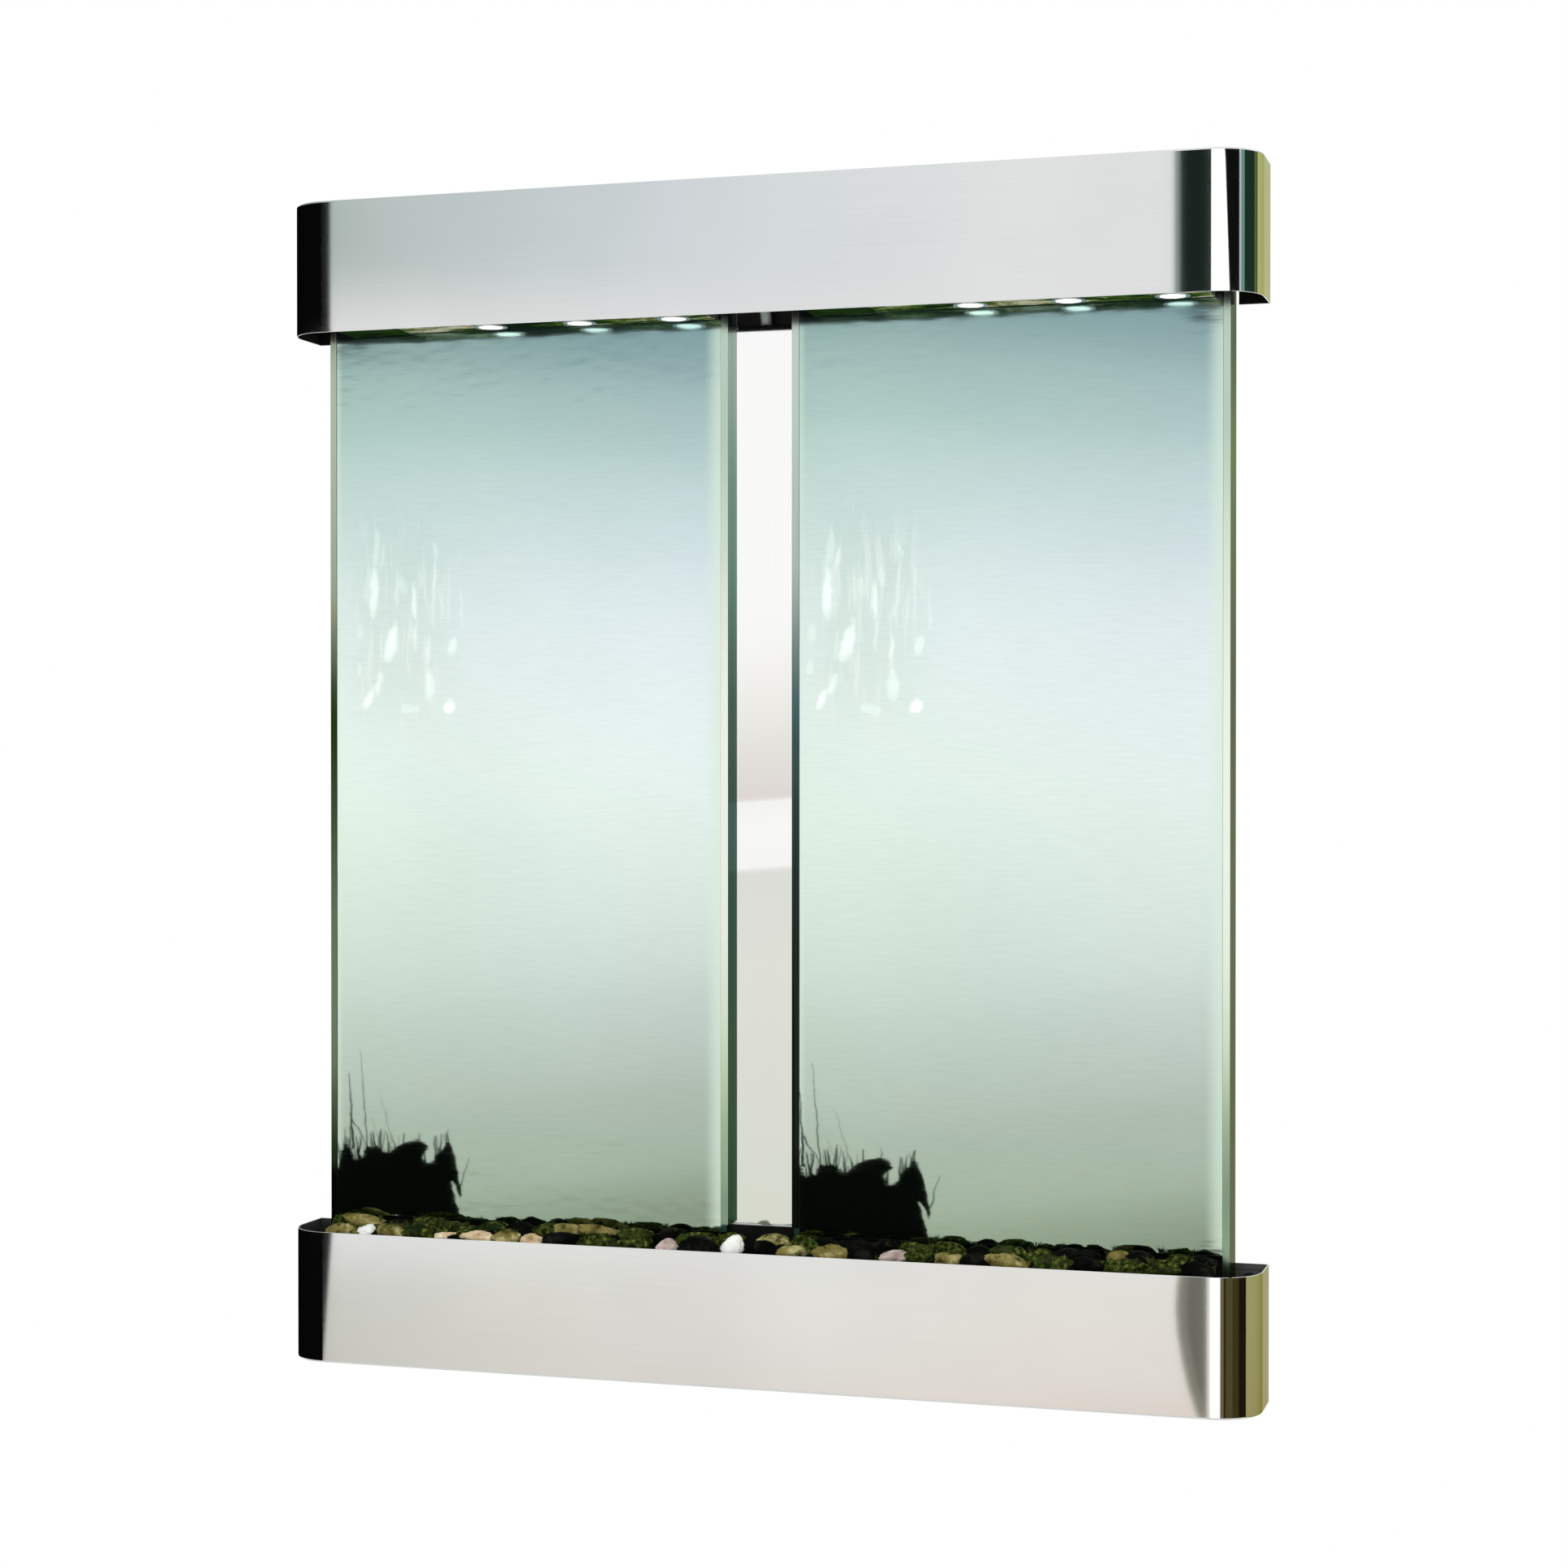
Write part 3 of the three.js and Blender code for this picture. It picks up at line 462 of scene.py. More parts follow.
def even_shading(made):
    modifier = made.modifiers.new("even_shading", "WEIGHTED_NORMAL")
    modifier.keep_sharp = True
    modifier.weight = 80


def dress(names, material, bevel=0.0004, smooth=35):
    """A better finish on CAD nodes that keep their shape: a material and softened edges."""
    for name in names:
        made = nodes[name]
        made.data.materials.clear()
        made.data.materials.append(material)
        made.data.polygons.foreach_set("use_smooth", [True] * len(made.data.polygons))
        made.data.set_sharp_from_angle(angle=math.radians(smooth))
        if bevel:
            modifier = made.modifiers.new("soft_edges", "BEVEL")
            modifier.width = bevel
            modifier.segments = 2
            modifier.limit_method = "ANGLE"
            modifier.angle_limit = math.radians(smooth)
            modifier.harden_normals = True


# --- Hood and tray --------------------------------------------------------------------------------

SHEET = 0.0015
CORNER = 0.065
BEND = 0.003
BROKEN_EDGE = 0.0004
BACK_LIP = 0.014
BACK_FLANGE = 0.044
# Headings past which the right ends take their green-gold painted reflection.
HOOD_END_HEADING = 63
TRAY_END_HEADING = 45


def footprint(half, front, back, inset, flange, steps=40):
    """The plan outline from the back left round the front to the back right, then along the back."""
    radius = CORNER - inset
    centre_y = front + CORNER
    points = [(-half + inset, back - inset)]
    for side, begin in ((-1, math.pi), (1, 1.5 * math.pi)):
        for i in range(steps + 1):
            angle = begin + 0.5 * math.pi * i / steps
            points.append((side * (half - CORNER) + radius * math.cos(angle), centre_y + radius * math.sin(angle)))
    points.append((half - inset, back - inset))
    points += [(half - flange, back - inset), (flange - half, back - inset)]
    return points


def bent_sheet(name, half, front, back, section, flange, window=None):
    """A sheet folded all round the footprint. The section is (inset, height) from the inside to the outside.
    The window is the pair of section steps between which the back is left open between its two flanges."""
    bm = bmesh.new()
    rings = [
        [bm.verts.new((x, y, z)) for x, y in footprint(half, front, back, inset, flange)]
        for inset, z in section
    ]
    count = len(rings[0])
    gap = count - 2
    for step, (low, high) in enumerate(zip(rings, rings[1:])):
        for i in range(count):
            if window and i == gap and window[0] <= step < window[1]:
                continue
            j = (i + 1) % count
            bm.faces.new((low[i], low[j], high[j], high[i]))
    bm.faces.new(rings[0])
    bm.faces.new(rings[-1])
    if window:
        first, last = window
        for i in (gap, gap + 1):
            bm.faces.new([ring[i] for ring in rings[first:last + 1]])
        bm.faces.new((rings[first][gap], rings[first][gap + 1], rings[last][gap + 1], rings[last][gap]))
    return to_mesh(name, bm)


def quarter(radius, inset_from, z_from, z_sign, steps=5):
    """A rounded edge from an upright wall at inset 0 to a level face."""
    for i in range(steps + 1):
        angle = 0.5 * math.pi * i / steps
        yield inset_from + radius * (1 - math.cos(angle)), z_from + z_sign * radius * math.sin(angle)


def mark_inner_and_reflection_faces(made, inner_faces, end_heading):
    """The second material on the faces that look in (black painted shade in the hood), and the third, a green-gold
    painted reflection, on the right end past a heading.
    """
    for polygon in made.data.polygons:
        if inner_faces(polygon):
            polygon.material_index = 1
        elif polygon.center.x > 0 and polygon.normal.x > math.sin(math.radians(end_heading)):
            polygon.material_index = 2


hood_low, hood_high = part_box("hood_shell")
hood_section = [
    (SHEET, hood_high.z - SHEET),
    (SHEET, hood_high.z - BACK_LIP),
    (SHEET, hood_low.z + BROKEN_EDGE),
    (SHEET - BROKEN_EDGE, hood_low.z),
    (BROKEN_EDGE, hood_low.z),
    (0.0, hood_low.z + BROKEN_EDGE),
    (0.0, hood_high.z - BACK_LIP),
    *quarter(BEND, 0.0, hood_high.z - BEND, 1),
]
hood_mesh = bent_sheet("hood", hood_high.x, hood_low.y, hood_high.y, hood_section, BACK_FLANGE, window=(1, 6))
hood = piece("hood_sheet", hood_mesh, [steel_face, painted_shade_black, hood_end_painted_reflection], "hood", ["hood_shell"])


def inside(low, high):
    """Faces of a folded sheet that look at the space inside it."""
    middle = (low + high) / 2

    def looks_in(polygon):
        c, n = polygon.center, polygon.normal
        deep_x = abs(c.x) < high.x - 0.001 or abs(n.x) < 0.5
        deep_y = low.y + 0.001 < c.y < high.y - 0.001
        nearest_x = max(low.x + CORNER, min(high.x - CORNER, c.x))
        nearest_y = max(low.y + CORNER, min(high.y - 0.02, c.y))
        nearest = Vector((nearest_x, nearest_y, c.z))
        if abs(n.z) > 0.9:
            return n.z * (middle.z - c.z) > 0 and abs(c.z - middle.z) > 0.02 and low.z + 0.001 < c.z < high.z - 0.001
        return deep_x and deep_y and n.dot(nearest - c) > 0 and abs(n.z) < 0.3

    return looks_in


mark_inner_and_reflection_faces(hood, inside(hood_low, hood_high), HOOD_END_HEADING)
even_shading(hood)

tray_low, tray_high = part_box("tray_shell")
tray_section = [
    (SHEET, tray_low.z + SHEET),
    (SHEET, tray_high.z - BROKEN_EDGE),
    (SHEET - BROKEN_EDGE, tray_high.z),
    (BROKEN_EDGE, tray_high.z),
    (0.0, tray_high.z - BROKEN_EDGE),
    *quarter(BEND, 0.0, tray_low.z + BEND, -1),
]
tray_mesh = bent_sheet("tray", tray_high.x, tray_low.y, tray_high.y, tray_section, BACK_FLANGE)
tray = piece("tray_sheet", tray_mesh, [steel_face, steel_inside, tray_end_painted_reflection], ROOT, ["tray_shell"])
mark_inner_and_reflection_faces(tray, inside(tray_low, tray_high), TRAY_END_HEADING)
even_shading(tray)


# --- Running water on the mirror ------------------------------------------------------------------

def water_film(side):
    """A closed thin sheet with fine ripples on its front, between the two trims of a panel."""
    s = SIDES[side]
    low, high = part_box(f"mirror_panel_{side}")
    x0, x1 = sorted((s * 0.0605, s * 0.6775))
    z0, z1 = low.z + 0.001, high.z - 0.004
    columns, rows = 150, 300
    bm = bmesh.new()
    base = low.y - 0.0003
    grid = []
    for r in range(rows + 1):
        z = z0 + (z1 - z0) * r / rows
        line = []
        for c in range(columns + 1):
            x = x0 + (x1 - x0) * c / columns
            wave = noise.noise(Vector((x * 34, 3.1 + s, z * 130)))
            swell = noise.noise(Vector((x * 9, 7.7 + s, z * 22)))
            y = base - 0.00045 - 0.00016 * wave - 0.0002 * swell
            line.append(bm.verts.new((x, y, z)))
        grid.append(line)
    for a, b in zip(grid, grid[1:]):
        for i in range(columns):
            bm.faces.new((a[i], a[i + 1], b[i + 1], b[i]))
    boundary = [e for e in bm.edges if e.is_boundary]
    extruded = bmesh.ops.extrude_edge_only(bm, edges=boundary)["geom"]
    for vertex in (g for g in extruded if isinstance(g, bmesh.types.BMVert)):
        vertex.co.y = base
    bmesh.ops.holes_fill(bm, edges=[e for e in bm.edges if e.is_boundary])
    material = wet_mirror_material(f"wet_mirror_{side}", x0, x1)
    piece(f"water_film_{side}", to_mesh(f"film_{side}", bm), [material], ROOT, sharp=60)


for side in SIDES:
    water_film(side)


# --- Stones ---------------------------------------------------------------------------------------

rng = random.Random(41)


def pebble(bm, centre, size, material, level=3, roughness=0.16, point=0.0, lean=0.0):
    """A lumpy stone of half-lengths size. Point narrows its top, and lean pushes the top sideways."""
    made = bmesh.ops.create_icosphere(bm, subdivisions=level, radius=1.0)
    turn = Matrix.Rotation(rng.uniform(-0.3, 0.3), 3, "X") @ Matrix.Rotation(rng.uniform(-0.25, 0.25), 3, "Y")
    turn = turn @ Matrix.Rotation(rng.uniform(-0.5, 0.5), 3, "Z")
    shift = Vector((rng.uniform(-50, 50), rng.uniform(-50, 50), rng.uniform(-50, 50)))
    for vertex in made["verts"]:
        p = vertex.co.copy()
        lump = 1 + roughness * noise.noise(p * 1.1 + shift) + 0.4 * roughness * noise.noise(p * 3.1 + shift)
        lump += 0.16 * roughness * noise.noise(p * 9 + shift)
        slim = 1 - point * (0.5 + 0.5 * p.z)
        p = Vector((p.x * size[0] * slim, p.y * size[1] * slim, p.z * size[2])) * lump
        p = turn @ p
        p.x += lean * p.z
        vertex.co = p + centre
    for face in {f for v in made["verts"] for f in v.link_faces}:
        face.material_index = material


def tuft(bm, root, reach):
    """A tuft of moss: a few thin blades from one root."""
    for blade in range(11):
        angle = rng.uniform(0, 2 * math.pi)
        spread = rng.uniform(0.2, 0.9) * reach
        tip = root + Vector((spread * math.cos(angle), 0.7 * spread * math.sin(angle), rng.uniform(0.5, 1.0) * reach))
        foot = [
            bm.verts.new(root + Vector((0.0009 * math.cos(angle + k), 0.0009 * math.sin(angle + k), -0.003)))
            for k in (0.0, 2.1, 4.2)
        ]
        top = bm.verts.new(tip)
        bm.faces.new(foot).material_index = TUFT
        for k in range(3):
            bm.faces.new((foot[k], foot[(k + 1) % 3], top)).material_index = TUFT


# The stones seen along the rim, from left to right: what they are and half their length in millimetres.
FRONT_ROWS = {
    "left": [
        (OLIVE, 26), (WHITE, 13), (OLIVE, 22), (MOSS, 24), (CREAM, 20), (CREAM, 25), (OLIVE, 21), (CREAM, 18),
        (BLACK, 26), (MOSS, 27), (MOSS, 30), (PINK, 17), (BLACK, 30), (WHITE, 19),
    ],
    "right": [
        (BLACK, 20), (OLIVE, 25), (OLIVE, 29), (BLACK, 22), (PINK, 25), (MOSS, 20), (OLIVE, 22), (BLACK, 19),
        (OLIVE, 38), (MOSS, 24), (BLACK, 25), (MOSS, 31), (MOSS, 27), (BLACK, 24),
    ],
}
# How far each kind stands above the tray's rim, in metres.
RIM_TOPS = {BLACK: 0.016, MOSS: 0.015, OLIVE: 0.0125, CREAM: 0.009, PINK: 0.009, WHITE: 0.012}


def stone_heap(side):
    """Two buried layers, a row against the glass, and the row that shows along the rim."""
    low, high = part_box(f"stone_heap_{side}")
    rim = tray_high.z
    bm = bmesh.new()
    for z, count, radius in ((low.z + 0.016, 42, 0.017), (low.z + 0.031, 34, 0.02)):
        for i in range(count):
            x = low.x + 0.02 + (high.x - low.x - 0.04) * (i + 0.5) / count
            for y in (low.y + 0.016, (low.y + high.y) / 2, high.y - 0.016):
                centre = Vector((x + rng.uniform(-0.004, 0.004), y, z + rng.uniform(-0.002, 0.002)))
                size = (radius * rng.uniform(0.8, 1.1), 0.013, 0.012)
                pebble(bm, centre, size, rng.choice((BLACK, BLACK, MOSS)), 2)
    x = low.x + 0.026
    while x < high.x - 0.012:
        half = rng.uniform(0.022, 0.036)
        tall = rng.uniform(0.012, 0.016)
        top = high.z - rng.uniform(0.0005, 0.006)
        kind = rng.choice((BLACK, BLACK, BLACK, MOSS, MOSS, MOSS, OLIVE))
        pebble(bm, Vector((x, high.y - 0.0165, top - tall * 1.02)), (half, 0.0145, tall), kind, 4, 0.3)
        if kind != BLACK:
            for i in range(3):
                root = Vector((x + rng.uniform(-0.7, 0.7) * half, high.y - 0.018, top - 0.004))
                tuft(bm, root, rng.uniform(0.006, 0.011))
        filler = Vector((x + 0.5 * half, (low.y + high.y) / 2, high.z - 0.0265))
        pebble(bm, filler, (0.024, 0.013, 0.013), rng.choice((BLACK, MOSS)), 3)
        x += half * 1.5
    row = FRONT_ROWS[side]
    pitch = (high.x - low.x - 0.004) / sum(2 * half for kind, half in row)
    x = low.x + 0.002
    for kind, half in row:
        reach = half * pitch
        x += reach
        tall = rng.uniform(0.0125, 0.0155) if kind != WHITE else 0.0125
        top = rim + RIM_TOPS[kind] + rng.uniform(-0.002, 0.003)
        centre = Vector((x, low.y + 0.0165, top - tall * 1.05))
        if kind == WHITE and half > 15:
            upright_centre = Vector((x - 0.002, low.y + 0.0145, high.z - 0.02))
            pebble(bm, upright_centre, (0.025, 0.0135, 0.0205), kind, 4, 0.2, point=0.6, lean=0.42)
        else:
            pebble(bm, centre, (reach * 1.14, 0.0155, tall), kind, 4, 0.36 if kind != BLACK else 0.28)
        if kind in (MOSS, OLIVE):
            for i in range(7 if kind == MOSS else 4):
                root = centre + Vector((rng.uniform(-0.8, 0.8) * reach, rng.uniform(-0.006, 0.004), tall * 0.82))
                tuft(bm, root, rng.uniform(0.005, 0.010))
        x += reach
    for vertex in bm.verts:
        co = vertex.co
        co.x = max(low.x + 0.0005, min(high.x - 0.0005, co.x))
        co.y = max(low.y + 0.0005, min(high.y - 0.0005, co.y))
        co.z = max(low.z + 0.0003, min(high.z - 0.0003, co.z))
    mesh = to_mesh(f"stones_{side}", bm)
    piece(f"stones_{side}", mesh, pebbles, f"stone_basket_{side}", [f"stone_heap_{side}"], sharp=70)


for side in SIDES:
    stone_heap(side)


# --- Lamps ----------------------------------------------------------------------------------------

def lathe(bm, profile, steps=48):
    """A closed solid of revolution about Z. The profile is (radius, height), from axis to axis."""
    turns = [2 * math.pi * i / steps for i in range(steps)]
    rings = []
    for radius, z in profile:
        if radius < 1e-7:
            rings.append([bm.verts.new((0, 0, z))])
        else:
            rings.append([bm.verts.new((radius * math.cos(turn), radius * math.sin(turn), z)) for turn in turns])
    for a, b in zip(rings, rings[1:]):
        for i in range(steps):
            j = (i + 1) % steps
            corners = [a[i % len(a)], a[j % len(a)], b[j % len(b)], b[i % len(b)]]
            unique = list(dict.fromkeys(corners))
            if len(unique) > 2:
                bm.faces.new(unique)


def lamp(name):
    """A metal lamp ring with a frosted lens in its underside."""
    low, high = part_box(name)
    centre = (low + high) / 2
    rim = (high.x - low.x) / 2
    bm = bmesh.new()
    z = low.z
    lathe(bm, [
        (0.0, z + 0.0006), (0.017, z + 0.0006), (0.018, z + 0.0002), (0.0185, z),
        (rim - 0.0006, z), (rim, z + 0.0006), (rim, z + 0.0016), (0.0205, z + 0.0019),
        (0.0205, high.z - 0.003), (0.017, high.z), (0.0, high.z),
    ])
    for vertex in bm.verts:
        vertex.co += Vector((centre.x, centre.y, 0))
    made = piece(f"{name}_fitting", to_mesh(name, bm), [lamp_ring, lens], ROOT, [name], sharp=30)
    for polygon in made.data.polygons:
        out = math.hypot(polygon.center.x - centre.x, polygon.center.y - centre.y)
        if polygon.normal.z < -0.3 and out < LENS_RADIUS:
            polygon.material_index = 1


LENS_RADIUS = 0.0178
lens = lens_material()
for side in SIDES:
    for number in (1, 2, 3):
        lamp(f"lamp_{side}_{number}")


# --- CAD nodes that keep their shape --------------------------------------------------------------

def pairs(*names):
    """The left and the right node of each name."""
    return [f"{name}_{side}" for name in names for side in SIDES]


# Each trim with its painted reflection ramps and the tint of its grazing reflection.
for name, front, side_reflection, edge_on in (
    ("outer_trim_left", OUTER_FRONT_PAINTED_REFLECTION, OUTER_SIDE_PAINTED_REFLECTION, (0.3, 0.36, 0.2)),
    ("inner_trim_left", PALE_FRONT_PAINTED_REFLECTION, INNER_SIDE_PAINTED_REFLECTION, (0.5, 0.6, 0.56)),
    ("inner_trim_right", DARK_FRONT_PAINTED_REFLECTION, INNER_SIDE_PAINTED_REFLECTION, (0.2, 0.26, 0.24)),
    ("outer_trim_right", PALE_FRONT_PAINTED_REFLECTION, OUTER_SIDE_PAINTED_REFLECTION, (0.3, 0.36, 0.2)),
):
    dress([name], trim_material(name, front, side_reflection, edge_on), 0.0003)
dress(["centre_divider"], divider_material(), 0.0004)
# The drip apron is made dark with painted shade.
dress(["drip_apron"], painted_shade_black, 0.0002)
dress(pairs("mirror_panel"), mirror_material(), 0.0004)
dress(pairs("backer_board"), board, 0.0004)
dress(["top_rail", "bottom_rail", "wall_cleat", "frame_cleat", *pairs("mid_rail", "hood_bracket")], alloy)
dress(pairs("stile_inner", "stile_outer", "tray_hanger"), alloy_upright)
dress(pairs("spray_bar"), steel_inside, 0.0002)
dress(pairs("light_channel"), light_plate_material(), 0.0003)
dress([f"{name}_{i}" for name in pairs("bar_hanger") for i in (1, 2)], steel_inside, 0.0003)
# The hose guard is a black sheet that stands in as painted shade behind the centre divider.
dress(["reservoir_liner", "hose_guard", "pump_body", "pump_cover", *pairs("stone_shelf")], black_plastic)
dress(pairs("lamp_driver"), driver_case_painted_reflection)
dress(["tee_fitting", "impeller"], white_plastic, 0.0003)
dress(pairs("valve_body"), brass, 0.0004)
dress(pairs("valve_lever"), grip, 0.0008)
dress(["riser_hose"], hose_material(), 0)
dress(["cable_grommet", *pairs("wall_bumper")], rubber, 0.0006)


# --- Floor, light and surroundings ----------------------------------------------------------------

def card(name, corners, colour):
    """A flat studio card, seen only in reflections."""
    mesh = bpy.data.meshes.new(name)
    mesh.from_pydata([Vector(c) for c in corners], [], [tuple(range(len(corners)))])
    made = bpy.data.objects.new(name, mesh)
    bpy.context.scene.collection.objects.link(made)
    material = bpy.data.materials.new(name)
    material.use_nodes = True
    tree = material.node_tree
    tree.nodes.clear()
    emission = tree.nodes.new("ShaderNodeEmission")
    emission.inputs["Color"].default_value = (*colour, 1)
    output = tree.nodes.new("ShaderNodeOutputMaterial")
    tree.links.new(emission.outputs[0], output.inputs["Surface"])
    mesh.materials.append(material)
    made.visible_camera = False
    made.visible_diffuse = False
    made.visible_transmission = False
    made.visible_shadow = False


def around(centre, heading, radius):
    """A point in plan, at a heading measured from the front (-Y) towards the right (+X)."""
    angle = math.radians(heading)
    return centre[0] + radius * math.sin(angle), centre[1] - radius * math.cos(angle)


def ring_of_cards(prefix, centre, radius, z0, z1, sectors):
    """Cards round a point, between headings, for what a round corner mirrors."""
    for number, (start, end, colour) in enumerate(sectors):
        steps = max(1, round(abs(end - start) / 15))
        for i in range(steps):
            a = around(centre, start + (end - start) * i / steps, radius)
            b = around(centre, start + (end - start) * (i + 1) / steps, radius)
            card(f"{prefix}_{number}_{i}", [(*a, z0), (*b, z0), (*b, z1), (*a, z1)], colour)


hood_z = (hood_low.z + 0.07, hood_high.z + 0.17)
tray_z = (tray_low.z - 0.2, tray_high.z - 0.05)
right_end = (hood_high.x - CORNER, hood_low.y + CORNER)
left_end = (-right_end[0], right_end[1])
FLAG_RADIUS = 0.6
BRIGHT = (1.3, 1.3, 1.27)
NEAR_BLACK = (0.001, 0.001, 0.001)
ring_of_cards("flag_hood_right", right_end, FLAG_RADIUS, *hood_z, [
    (-6.5, 23, BRIGHT),
    (23, 60, (0.003, 0.004, 0.004)),
    (60, 65, (0.5, 0.62, 0.6)),
    (65, 74, (0.17, 0.30, 0.29)),
    (74, 106, (0.012, 0.035, 0.02)),
    (106, 118, (0.12, 0.16, 0.05)),
])
ring_of_cards("flag_tray_right", right_end, FLAG_RADIUS, *tray_z, [
    (-7, 17, BRIGHT),
    (17, 25, (0.17, 0.14, 0.08)),
    (25, 30, (0.03, 0.022, 0.006)),
    (30, 46, (0.09, 0.078, 0.026)),
    (46, 62, (0.05, 0.04, 0.012)),
    (62, 82, (0.012, 0.008, 0.002)),
])
for name, heights in (("hood", hood_z), ("tray", tray_z)):
    ring_of_cards(f"flag_{name}_left", left_end, FLAG_RADIUS, *heights, [(-29, -165, NEAR_BLACK)])
flag_y = around(right_end, -8, FLAG_RADIUS)[1]


def upright(name, y, points, colour):
    """A card that stands square to the front, drawn by its corners (x, z)."""
    card(name, [(x, y, z) for x, z in points], colour)


def upright_box(name, y, x0, x1, z0, z1, colour):
    upright(name, y, [(x0, z0), (x1, z0), (x1, z1), (x0, z1)], colour)


upright_box("flag_hood_strip", flag_y, 0.545, 0.60, *hood_z, (0.004, 0.012, 0.008))
upright_box("flag_hood_strip_edge", flag_y, 0.536, 0.545, *hood_z, (0.25, 0.33, 0.30))
slant_low, slant_high = (around(right_end, heading, FLAG_RADIUS - 0.01) for heading in (37, 22))
card("flag_hood_slant", [(*slant_high, hood_z[0]), (*slant_low, hood_z[0]), (*slant_high, hood_z[0] + 0.3)], BRIGHT)
# The grey curved shade near the tray's right corner, in three steps from its pale rim inwards.
ARC = [
    (0.546, -1.585), (0.541, -1.61), (0.539, -1.65), (0.542, -1.69),
    (0.549, -1.73), (0.558, -1.77), (0.571, -1.81), (0.588, -1.845),
]
ARC_END = 0.589
ARC_STEPS = ((0.0, (0.42, 0.41, 0.35)), (0.006, (0.25, 0.245, 0.2)), (0.018, (0.17, 0.17, 0.14)))
for number, (inset, colour) in enumerate(ARC_STEPS):
    edge = [(min(0.588, x + inset), z) for x, z in ARC]
    outline = [(ARC_END, ARC[0][1]), *edge, (ARC_END, ARC[-1][1])]
    upright(f"flag_tray_arc_{number}", flag_y + 0.001 * number, outline, colour)
LEFT_FLAG_Y = -0.595
LEFT_SLANT = [(-0.98, -1.86), (-0.895, -1.86), (-0.872, -1.56), (-0.98, -1.56)]
upright("flag_tray_left_slant", LEFT_FLAG_Y, LEFT_SLANT, NEAR_BLACK)
upright_box("flag_hood_left_edge", LEFT_FLAG_Y, -0.98, -0.875, *hood_z, NEAR_BLACK)

# Dark leaves in front of the glass, low at the left of each mirror: seen only as its reflection.
LEAF_COLOUR = (0.001, 0.002, 0.001)
LEAF_Y = -0.185
BLADE_Y = -0.186
LEAF_OUTLINE = [
    (-0.3, -0.1), (-0.3, 0.8), (-0.1, 0.72), (0.0, 0.62), (0.03, 0.86), (0.055, 0.97), (0.085, 0.92), (0.105, 0.74),
    (0.13, 0.70), (0.155, 0.84), (0.18, 0.80), (0.22, 0.93), (0.26, 0.90), (0.29, 0.96), (0.33, 0.87), (0.38, 0.86),
    (0.43, 0.94), (0.50, 1.03), (0.58, 1.06), (0.64, 1.02), (0.665, 0.95), (0.63, 0.88), (0.61, 0.80), (0.65, 0.74),
    (0.70, 0.78), (0.735, 0.90), (0.76, 0.96), (0.79, 1.04), (0.82, 1.0), (0.845, 0.88), (0.865, 0.68), (0.89, 0.46),
    (0.90, 0.30), (0.885, 0.24), (0.865, 0.36), (0.83, 0.50), (0.82, 0.48), (0.845, 0.30), (0.87, 0.12), (0.9, -0.1),
]
BLADES = [  # foot across and up, tip across and up, width
    (0.11, 0.9, 0.085, 2.0, 0.020), (0.22, 0.85, 0.165, 2.35, 0.010), (0.09, 1.4, 0.24, 0.85, 0.014),
    (0.42, 0.9, 0.30, 1.75, 0.005), (0.33, 0.9, 0.24, 1.4, 0.004), (0.895, 0.4, 0.95, 0.85, 0.010),
]
leaf_rng = random.Random(7)
BLADES += [
    (across, 0.6, across + leaf_rng.uniform(-0.06, 0.06), leaf_rng.uniform(0.9, 1.22), leaf_rng.uniform(0.008, 0.026))
    for across in (leaf_rng.uniform(0.0, 0.84) for i in range(54))
]
for side, x0, width, clip in (("left", -0.735, 0.236, -0.9), ("right", 0.004, 0.25, 0.014)):
    z0, tall = tray_high.z + 0.004, 0.108

    def place(across, up):
        return max(clip, x0 + width * across), z0 + tall * up

    upright(f"leaf_{side}", LEAF_Y, [place(a, b) for a, b in LEAF_OUTLINE], LEAF_COLOUR)
    for number, (a0, b0, a1, b1, w) in enumerate(BLADES):
        corners = [place(a0 - w / 2, b0), place(a0 + w / 2, b0), place(a1 + w / 8, b1), place(a1 - w / 8, b1)]
        upright(f"blade_{side}_{number}", BLADE_Y, corners, LEAF_COLOUR)

# A bright gap in the trees behind the camera, high at the left of each mirror: seen only as its reflection.
GLEAMS = [  # across, foot, head, half width, lean, brightness
    (0.27, 0.50, 0.80, 0.022, 0.00, 2), (0.285, 0.74, 0.97, 0.015, 0.01, 1), (0.34, 0.74, 0.90, 0.008, 0.02, 1),
    (0.41, 0.29, 0.50, 0.032, 0.04, 2), (0.23, 0.07, 0.17, 0.022, 0.03, 2), (0.31, 0.14, 0.25, 0.020, 0.02, 1),
    (0.87, 0.04, 0.11, 0.032, 0.00, 2), (0.89, 0.32, 0.43, 0.022, 0.01, 1), (0.71, 0.10, 0.27, 0.026, 0.00, 1),
    (0.56, 0.04, 0.09, 0.045, 0.00, 0), (0.59, 0.50, 0.70, 0.013, 0.00, 2), (0.60, 0.34, 0.53, 0.009, 0.01, 1),
    (0.745, 0.45, 0.84, 0.009, 0.01, 1), (0.755, 0.80, 0.88, 0.013, -0.02, 1), (0.455, 0.55, 0.78, 0.009, 0.00, 1),
    (0.86, 0.47, 0.80, 0.006, 0.00, 0), (0.96, 0.45, 0.66, 0.006, 0.00, 0), (0.16, 0.41, 0.48, 0.022, 0.00, 0),
    (0.15, 0.23, 0.30, 0.018, 0.00, 0), (0.70, 0.28, 0.44, 0.010, 0.00, 1), (0.33, 0.30, 0.46, 0.008, 0.00, 0),
    (0.50, 0.62, 0.72, 0.018, 0.00, 0), (0.64, 0.66, 0.76, 0.012, 0.00, 0), (0.81, 0.50, 0.64, 0.008, 0.01, 0),
]
GLEAM_WIDTH = 1.45
GLEAM_POINTS = 14
